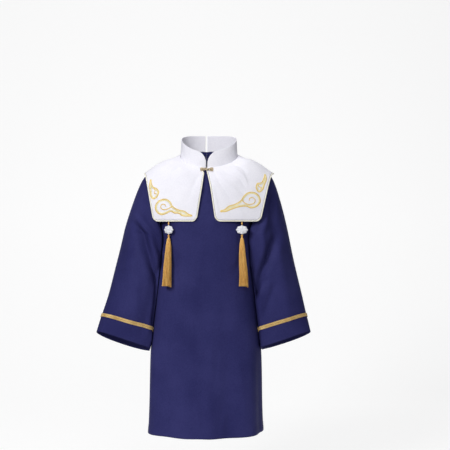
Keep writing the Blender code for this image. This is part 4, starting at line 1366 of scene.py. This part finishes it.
for side, word in SIDES.items():
    ground = cape_ground[side]
    lines = []
    fills = []
    for stroke in CLOUDS:
        if stroke.side != side:
            continue
        line = []
        points = sewn_leftwards(stroke.points, side) if stroke.closed else stroke.points
        for out, up in smooth_stroke(points, stroke.closed):
            start = Vector((side * out + 2.2, -300, CAPE_HEM - 2.5 + up)) * MM
            hit, outward, _, _ = ground.ray_cast(start, Vector((0, 1, 0)))
            if hit is None:
                hit, outward, _, _ = ground.find_nearest(start + Vector((0, 0.2, 0)))
            if outward.y > 0:
                outward = -outward
            line.append((hit + outward * 0.25 * MM, outward))
        lines.append(line)
        if stroke.closed:
            fills.append(line)
    rows = [sew("cloud_outline_" + word, lines, gold_silk, OUTLINE_STITCH, 1.25, waver=0.08)]
    for sideways in (2, 4):
        name = f"cloud_inside_{word}_{sideways}"
        rows.append(sew(name, fills, cream_silk, INSIDE_STITCH, 1.45, sideways, 0.5))
    cloud = join_pieces("embroidery_" + word, rows)
    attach(cloud, "root")


# The collar
# A stand collar of the cape's cloth, stiffened, in two halves: rounded at the throat and parted
# by a narrow slit at centre back.
COLLAR_TOP = CollarRing(83, 53, 47, 49.5, 28, 13)
COLLAR_WALL = 2.4 * MM
COLLAR_HEIGHT = 47
COLLAR_LENGTH = 210
COLLAR_CORNER_LENGTH = 24
COLLAR_CORNER_HEIGHT = 36
COLLAR_THROAT = 1.6
BACK_SLIT = 3.0
COLLAR_CUT = (0.22, 0.05)


def collar_half(side):
    """The surface of one half of the collar: u from centre front to centre back, v upwards."""

    def surface(u, v):
        start = COLLAR_THROAT / COLLAR_BASE.half_width
        end = math.pi - BACK_SLIT / COLLAR_BASE.half_width
        along = u * COLLAR_LENGTH
        below_top = (1 - v) * COLLAR_HEIGHT
        share_u = along / COLLAR_CORNER_LENGTH
        share_v = below_top / COLLAR_CORNER_HEIGHT
        if share_u < 1 and share_v < 1:
            moved_u, moved_v = round_corner(share_u, share_v, 1.0)
            along = moved_u * COLLAR_CORNER_LENGTH
            below_top = moved_v * COLLAR_CORNER_HEIGHT
        angle = start + (end - start) * along / COLLAR_LENGTH
        height = 1 - below_top / COLLAR_HEIGHT
        low = neck_ring(COLLAR_BASE, side * angle)
        high = neck_ring(COLLAR_TOP, side * angle)
        point = low + (high - low) * height
        away = Vector((low.x - YOKE_SHIFT, low.y, 0)).normalized()
        loose = smoothstep(0.05, 0.2, u) * smoothstep(1.0, 0.85, u) * math.sin(math.pi * v)
        point += away * 0.7 * MM * loose * noise.noise(Vector((9 * u, 2 * v, side)))
        if angle < 0.4:
            point.x = side * max(side * point.x, COLLAR_THROAT * MM)
        return point

    return surface


for side, word in SIDES.items():
    collar = cloth_shell(
        "collar_" + word + "_cloth",
        collar_half(side),
        (140, 34),
        COLLAR_CUT,
        COLLAR_WALL,
        white_cloth,
        flip=side < 0,
    )
    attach(collar, "root")
    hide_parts("collar_" + word)


# The clasp
# Two small plates of gold-toned cast filigree, sewn to the cape over its piping, and the knot
# that joins them. Each plate is a backing with a roped rim, four scrolls and a small ring.
CLASP_THICK = 2.2 * MM
CLASP_LENGTH = 7.9 * MM
CLASP_TALL = 6.6 * MM
CLASP_STEPS = 72
ROPE_STRAND = Stitch(0.8, 1.7, 0.95, 1.5)
SCROLL_WIRE = 0.45 * MM
Scroll = namedtuple("Scroll", "across up radius turns start hand")
SCROLLS = [
    Scroll(2.6, 2.5, 2.5, 1.4, -1.6, 1),
    Scroll(2.6, -2.5, 2.5, 1.4, 1.6, -1),
    Scroll(-3.0, 1.5, 2.1, 1.2, 3.4, -1),
    Scroll(-3.0, -1.5, 2.1, 1.2, -3.4, 1),
    Scroll(0.0, 0.0, 1.3, 1.0, 0.0, 1),
]
KNOT_WIRE = 0.75 * MM
KNOT_TURNS = 6


def metal_material(name, dark, light, rough):
    """Cast metal with a soft brushed face."""
    made, grain = new_material(name, spun_thread, Fibres_per_metre=420)
    shader = tinted_shader(made, grain["Tone"], dark, light, *rough)
    shader.inputs["Metallic"].default_value = 0.75
    raised(made, grain["Height"], 0.25, 0.1 * MM)
    return made


gold_metal = metal_material("gold filigree", (0.62, 0.49, 0.31), (0.92, 0.82, 0.64), (0.3, 0.45))
# A darker gold for the plates' ground, which shows in the hollows between the wires.
dark_metal = metal_material("dark gold ground", (0.26, 0.19, 0.10), (0.42, 0.32, 0.19), (0.45, 0.6))


def plate_frame(node, side):
    """The middle of a clasp plate's back face, with its across, up and outward directions."""
    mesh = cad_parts[node].data
    centre = sum((vertex.co for vertex in mesh.vertices), Vector()) / len(mesh.vertices)
    broad = {}
    for polygon in mesh.polygons:
        key = tuple(round(value, 1) for value in polygon.normal)
        broad.setdefault(key, [0.0, polygon.normal.copy()])[0] += polygon.area
    outward = max((entry for entry in broad.values() if entry[1].y < 0), key=lambda e: e[0])[1]
    across = Vector((side, 0, 0)) - outward * outward.x * side
    across.normalize()
    up = outward.cross(across) * side
    return centre - outward * 0.5 * CLASP_THICK, across, up, outward


def scroll_line(seat, scroll):
    """Points of a flat spiral wire on a plate, in from its rim."""
    centre, across, up, outward = seat
    points = []
    for k in range(22):
        t = k / 21
        angle = scroll.start + scroll.hand * 2 * math.pi * scroll.turns * t
        reach = scroll.radius * MM * (1 - 0.78 * t)
        out = scroll.across * MM + reach * math.cos(angle)
        rise = scroll.up * MM + reach * math.sin(angle)
        place = Vector((out, rise))
        points.append(centre + across * place.x + up * place.y + outward * (CLASP_THICK * 0.9))
    return points


for side, word in SIDES.items():
    seat = plate_frame("clasp_" + word, side)
    centre, across, up, outward = seat
    rim = []
    for k in range(CLASP_STEPS):
        a = 2 * math.pi * k / CLASP_STEPS
        reach = 1 - 0.16 * math.cos(3 * a)
        rim.append(
            centre
            + across * CLASP_LENGTH * reach * math.cos(a)
            + up * CLASP_TALL * reach * math.sin(a)
            + outward * 0.55 * CLASP_THICK
        )
    plate = bmesh.new()
    back_ring = [plate.verts.new(point - outward * 0.5 * CLASP_THICK) for point in rim]
    front_ring = [plate.verts.new(point + outward * 0.1 * CLASP_THICK) for point in rim]
    for k in range(CLASP_STEPS):
        nxt = (k + 1) % CLASP_STEPS
        plate.faces.new((back_ring[k], back_ring[nxt], front_ring[nxt], front_ring[k]))
    plate.faces.new(back_ring)
    plate.faces.new(front_ring)
    bmesh.ops.recalc_face_normals(plate, faces=plate.faces[:])
    plate_mesh = bpy.data.meshes.new("plate_" + word)
    plate.to_mesh(plate_mesh)
    plate.free()
    plate_mesh.materials.append(dark_metal)
    backing = put("plate_" + word, plate_mesh)
    rope_line = [(point, outward) for point in rim + rim[:1]]
    wires = [backing, sew("rope_" + word, [rope_line], gold_metal, ROPE_STRAND, 0.6)]
    for number, scroll in enumerate(SCROLLS):
        line = scroll_line(seat, scroll)
        wires.append(tube_along(f"wire_{word}_{number}", line, SCROLL_WIRE, gold_metal, sides=6))
    clasp = join_pieces("clasp_" + word + "_filigree", wires)
    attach(clasp, "root")
    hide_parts("clasp_" + word)

knot_low, knot_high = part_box("clasp_knot")
knot_centre = (knot_low + knot_high) / 2
knot_radius = 0.5 * (knot_high.x - knot_low.x)
knot_coils = []
for k in range(110):
    t = k / 109
    angle = 2 * math.pi * KNOT_TURNS * t
    height = knot_low.z + 0.5 * MM + (knot_high.z - knot_low.z - 1.0 * MM) * t
    swell = math.sqrt(max(0.0, 1 - (2 * t - 1) ** 2)) * (knot_radius - 0.7 * MM)
    knot_coils.append(Vector((knot_centre.x, knot_centre.y, height)) + on_circle(angle) * swell)
knot = tube_along("clasp_knot_coil", knot_coils, KNOT_WIRE, gold_metal, sides=8)
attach(knot, "root")
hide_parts("clasp_knot")


# The beads and their cords
# Under each half's hem a short gold cord with a small knot holds a pale carved bead, a flat
# flower of eight petals like polished jade.
TASSEL_OUT = {-1: 115, 1: 97}
TASSEL_LEAN = {-1: -5 * MM, 1: 5 * MM}
TASSEL_FORE = 5 * MM
CORD_RADIUS = 1.4 * MM
BEAD_TOP = -208 * MM
BEAD_HEIGHT = 26 * MM
BEAD_WIDTH = 35 * MM
BEAD_THICK = 11 * MM
BEAD_TURN = {-1: math.radians(-38), 1: math.radians(4)}
BEAD_LOBES = 8
BEAD_RINGS = 18
BEAD_SPOKES = 96
SKIRT_TOP = -247 * MM
SKIRT_FOOT = -386 * MM


def tassel_axis(side, height):
    """The point of the tassel's hanging line at this height, under the cape's front hem."""
    hook = cape_drape(side * TASSEL_OUT[side], -1)
    sway = (SKIRT_TOP - height) / (SKIRT_TOP - SKIRT_FOOT)
    grown = smoothstep(0.0, 1.0, sway)
    fore = hook.y - 0.5 * CAPE_WALL - TASSEL_FORE * grown
    return Vector((hook.x + TASSEL_LEAN[side] * grown, fore, height))


def stone_material():
    """Pale polished stone with faint clouds of blue-grey."""
    made, _ = new_material("pale carved stone")
    space = add_node(made.node_tree, "ShaderNodeTexCoord", {}).outputs["Object"]
    clouds = noise_on(made.node_tree, space, 120, 5)
    shader = tinted_shader(made, clouds, (0.70, 0.71, 0.76), (0.90, 0.90, 0.94), 0.18, 0.3)
    shader.inputs["Subsurface Weight"].default_value = 0.25
    shader.inputs["Subsurface Radius"].default_value = (0.004, 0.004, 0.004)
    shader.inputs["Coat Weight"].default_value = 0.4
    shader.inputs["Coat Roughness"].default_value = 0.12
    return made


carved_stone = stone_material()
gold_yarn = thread_material(
    "gold tassel yarn",
    (0.52, 0.18, 0.012),
    (1.0, 0.68, 0.19),
    (0.35, 0.55),
    twist=1300,
    streaks=420,
)


def bead_height(share, around):
    """Half the bead's thickness at this share of the way out to its rim."""
    crown = (1 - share**3.2) ** 0.6
    petal = 0.5 - 0.5 * math.cos(BEAD_LOBES * around)
    groove = 0.17 * smoothstep(0.25, 0.45, share) * petal**2
    ring = 0.16 * math.exp(-(((share - 0.27) / 0.05) ** 2))
    swirl = 0.06 * math.sin(BEAD_LOBES * around + 9 * share) * smoothstep(0.35, 0.6, share)
    eye = 0.22 * math.exp(-((share / 0.1) ** 2))
    return 0.5 * BEAD_THICK * max(0.0, crown * (1 - groove - ring + swirl - eye))


def turned(name, profile, material, sides=24):
    """A turned solid: radius and height pairs, top to bottom, about its own Z axis."""
    work = bmesh.new()
    rings = []
    for radius, height in profile:
        if radius == 0:
            rings.append([work.verts.new((0, 0, height))])
            continue
        angles = [2 * math.pi * k / sides for k in range(sides)]
        rings.append(
            [work.verts.new((radius * math.cos(a), radius * math.sin(a), height)) for a in angles]
        )
    for upper, lower in zip(rings, rings[1:]):
        for k in range(sides):
            nxt = (k + 1) % sides
            corners = [upper[k % len(upper)], lower[k % len(lower)]]
            corners += [lower[nxt % len(lower)], upper[nxt % len(upper)]]
            work.faces.new(list(dict.fromkeys(corners)))
    mesh = bpy.data.meshes.new(name)
    work.to_mesh(mesh)
    work.free()
    mesh.shade_smooth()
    mesh.materials.append(material)
    return put(name, mesh)


for side, word in SIDES.items():
    work = bmesh.new()
    layers = []
    for face in (1, -1):
        centre = work.verts.new((0, 0, face * bead_height(0, 0)))
        layer = []
        for r in range(1, BEAD_RINGS + (1 if face > 0 else 0)):
            share = math.sin(math.pi / 2 * r / BEAD_RINGS)
            row = []
            for k in range(BEAD_SPOKES):
                a = 2 * math.pi * k / BEAD_SPOKES
                lobe = 1 - 0.055 + 0.055 * math.cos(BEAD_LOBES * a)
                row.append(
                    work.verts.new(
                        (
                            0.5 * BEAD_WIDTH * lobe * share * math.cos(a),
                            0.5 * BEAD_HEIGHT * lobe * share * math.sin(a),
                            face * bead_height(share, a),
                        )
                    )
                )
            layer.append(row)
        if face < 0:
            layer.append(layers[0][-1])
        layers.append(layer)
        for k in range(BEAD_SPOKES):
            nxt = (k + 1) % BEAD_SPOKES
            fan = [centre, layer[0][k], layer[0][nxt]]
            work.faces.new(fan if face > 0 else fan[::-1])
            for inner_row, outer_row in zip(layer, layer[1:]):
                quad = [inner_row[k], outer_row[k], outer_row[nxt], inner_row[nxt]]
                work.faces.new(quad if face > 0 else quad[::-1])
    mesh = bpy.data.meshes.new("bead_" + word + "_stone")
    work.to_mesh(mesh)
    work.free()
    mesh.shade_smooth()
    mesh.materials.append(carved_stone)
    bead_middle = tassel_axis(side, BEAD_TOP - 0.5 * BEAD_HEIGHT)
    upright = Matrix.Rotation(BEAD_TURN[side], 4, "Z") @ Matrix.Rotation(math.pi / 2, 4, "X")
    mesh.transform(Matrix.Translation(bead_middle) @ upright)
    bead = put("bead_" + word + "_stone", mesh)
    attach(bead, "root")
    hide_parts("bead_" + word)

    top = CAPE_HEM * MM - 2 * PIPING_RADIUS - 2 * SEAM
    length = top - BEAD_TOP - SEAM
    small_knot = [(0.0, 0.0), (0.8 * CORD_RADIUS, -0.1 * MM), (CORD_RADIUS, -0.5 * MM)]
    for k in range(9):
        a = math.pi * k / 8
        small_knot.append(
            (1.1 * MM + 1.5 * MM * math.sin(a), -0.2 * length - 0.6 * length * k / 8)
        )
    small_knot += [(CORD_RADIUS, -0.9 * length), (CORD_RADIUS, -length + 0.2 * MM), (0.0, -length)]
    hanger = turned("hanger_" + word + "_cord", small_knot, gold_yarn)
    hanger.data.transform(Matrix.Translation(tassel_axis(side, top)))
    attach(hanger, "root")
    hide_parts("hanger_" + word)


# The tassels
# Gold rayon yarn: a bound head under the bead, with a waist, and a full skirt of fine strands
# that hangs to about 15 cm and spreads a little at its foot.
STRANDS = 340
STRAND_RADIUS = 0.42 * MM
SKIRT_SPREAD = 8.6 * MM
GOLDEN_ANGLE = math.pi * (3 - math.sqrt(5))
BINDING_RADIUS = 0.36 * MM
BINDING_PITCH = 0.55
BINDING_STEPS = 24
Binding = namedtuple("Binding", "level radius coils")
BINDINGS = [Binding(-6.6, 2.15, 3), Binding(-3.6, 2.95, 3)]

# The head's radius and height from its top, in millimetres.
HEAD_PROFILE = [
    (0, 0), (1.2, -0.1), (1.4, -0.8), (1.5, -2.0), (2.6, -2.9), (3.2, -4.2), (2.9, -5.5),
    (2.0, -6.4), (2.1, -7.4), (2.6, -9.0), (3.7, -11.0), (5.0, -13.4), (5.4, -15.4), (0, -15.6),
]


def skirt_tree():
    """Strands that hang from a head: each starts at a point inside it, fans out as it falls,
    and ends at an uneven foot."""
    tree, given = growing_tree(
        "tassel skirt", "Roots", ("Drop", "Lean", "Fore", "Spread", "Strand"), "Yarn"
    )

    def add(kind, inputs, **settings):
        return add_node(tree, kind, inputs, **settings).outputs

    def number(operation, *values):
        return maths(tree, operation, *values)

    strand = add("GeometryNodeCurvePrimitiveLine", {"Start": (0, 0, 0), "End": (0, 0, -1)})["Curve"]
    parts = add("GeometryNodeResampleCurve", {"Curve": strand, "Count": 9}, mode="COUNT")["Curve"]
    way = add("GeometryNodeInputNamedAttribute", {"Name": "way"}, data_type="FLOAT_VECTOR")
    hung = {"Points": given["Roots"], "Instance": parts}
    many = add("GeometryNodeInstanceOnPoints", hung)["Instances"]
    real = add("GeometryNodeRealizeInstances", {"Geometry": many})["Geometry"]
    fall = add("GeometryNodeSplineParameter", {})["Factor"]
    sideways, forwards, luck = add("ShaderNodeSeparateXYZ", {0: way["Attribute"]})
    softened = number("SUBTRACT", 3.0, number("MULTIPLY", fall, 2.0))
    eased = number("MULTIPLY", number("MULTIPLY", fall, fall), softened)
    early = number("POWER", fall, 0.55)
    fan = number("MULTIPLY", early, given["Spread"])
    phase = number("MULTIPLY_ADD", fall, 9.0, number("MULTIPLY", luck, 40.0))
    wobble = number("MULTIPLY", number("MULTIPLY", number("SINE", phase), fall), 0.7 * MM)
    across = number("MULTIPLY_ADD", sideways, fan, wobble)
    across = number("MULTIPLY_ADD", eased, given["Lean"], across)
    fore = number("MULTIPLY_ADD", forwards, fan, wobble)
    fore = number("SUBTRACT", fore, number("MULTIPLY", eased, given["Fore"]))
    uneven = number("MULTIPLY_ADD", luck, 0.05, 0.95)
    drop = number("MULTIPLY", number("MULTIPLY", fall, uneven), given["Drop"])
    fallen = number("MULTIPLY_ADD", drop, -1.0, fall)
    moved = add("ShaderNodeCombineXYZ", {0: across, 1: fore, 2: fallen})[0]
    placed = add("GeometryNodeSetPosition", {"Geometry": real, "Offset": moved})["Geometry"]
    section = {"Resolution": 4, "Radius": given["Strand"]}
    yarn = add("GeometryNodeCurvePrimitiveCircle", section)["Curve"]
    body = {"Curve": placed, "Profile Curve": yarn, "Fill Caps": True}
    bodied = add("GeometryNodeCurveToMesh", body)["Mesh"]
    end_tree(tree, bodied, given["Yarn"])
    return tree


tassel_skirt = skirt_tree()
head_profile = [(radius * MM, height * MM) for radius, height in HEAD_PROFILE]
for side, word in SIDES.items():
    head_top = BEAD_TOP - BEAD_HEIGHT - SEAM
    head = turned("head_" + word, head_profile, gold_yarn)
    head.data.transform(Matrix.Translation(tassel_axis(side, head_top)))
    pieces = [head]
    for number, (level, radius, coils) in enumerate(BINDINGS):
        line = []
        for k in range(BINDING_STEPS * coils + 1):
            fallen = BINDING_PITCH * k / BINDING_STEPS
            height = head_top + (level + BINDING_PITCH * coils / 2 - fallen) * MM
            out = on_circle(2 * math.pi * k / BINDING_STEPS) * radius * MM
            line.append(tassel_axis(side, height) + out)
        name = f"binding_{word}_{number}"
        pieces.append(tube_along(name, line, BINDING_RADIUS, gold_yarn, sides=6))
    roots = bpy.data.meshes.new("skirt_" + word)
    places = []
    ways = []
    for k in range(STRANDS):
        reach = math.sqrt((k + 0.5) / STRANDS)
        a = GOLDEN_ANGLE * k
        start = tassel_axis(side, SKIRT_TOP + (2.2 - 5.5 * reach) * MM + 2.0 * MM)
        places.append(start + on_circle(a) * 4.6 * MM * reach)
        ways += [reach * math.cos(a), reach * math.sin(a), (k * 0.618) % 1.0]
    roots.from_pydata(places, [], [])
    roots.attributes.new("way", "FLOAT_VECTOR", "POINT").data.foreach_set("vector", ways)
    skirt = grow(
        put("skirt_" + word, roots),
        tassel_skirt,
        {
            "Drop": SKIRT_TOP - SKIRT_FOOT,
            "Lean": TASSEL_LEAN[side],
            "Fore": TASSEL_FORE,
            "Spread": SKIRT_SPREAD,
            "Strand": STRAND_RADIUS,
            "Yarn": gold_yarn,
        },
    )
    pieces.append(skirt)
    tassel = join_pieces("tassel_" + word + "_yarn", pieces)
    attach(tassel, "root")
    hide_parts("tassel_" + word)
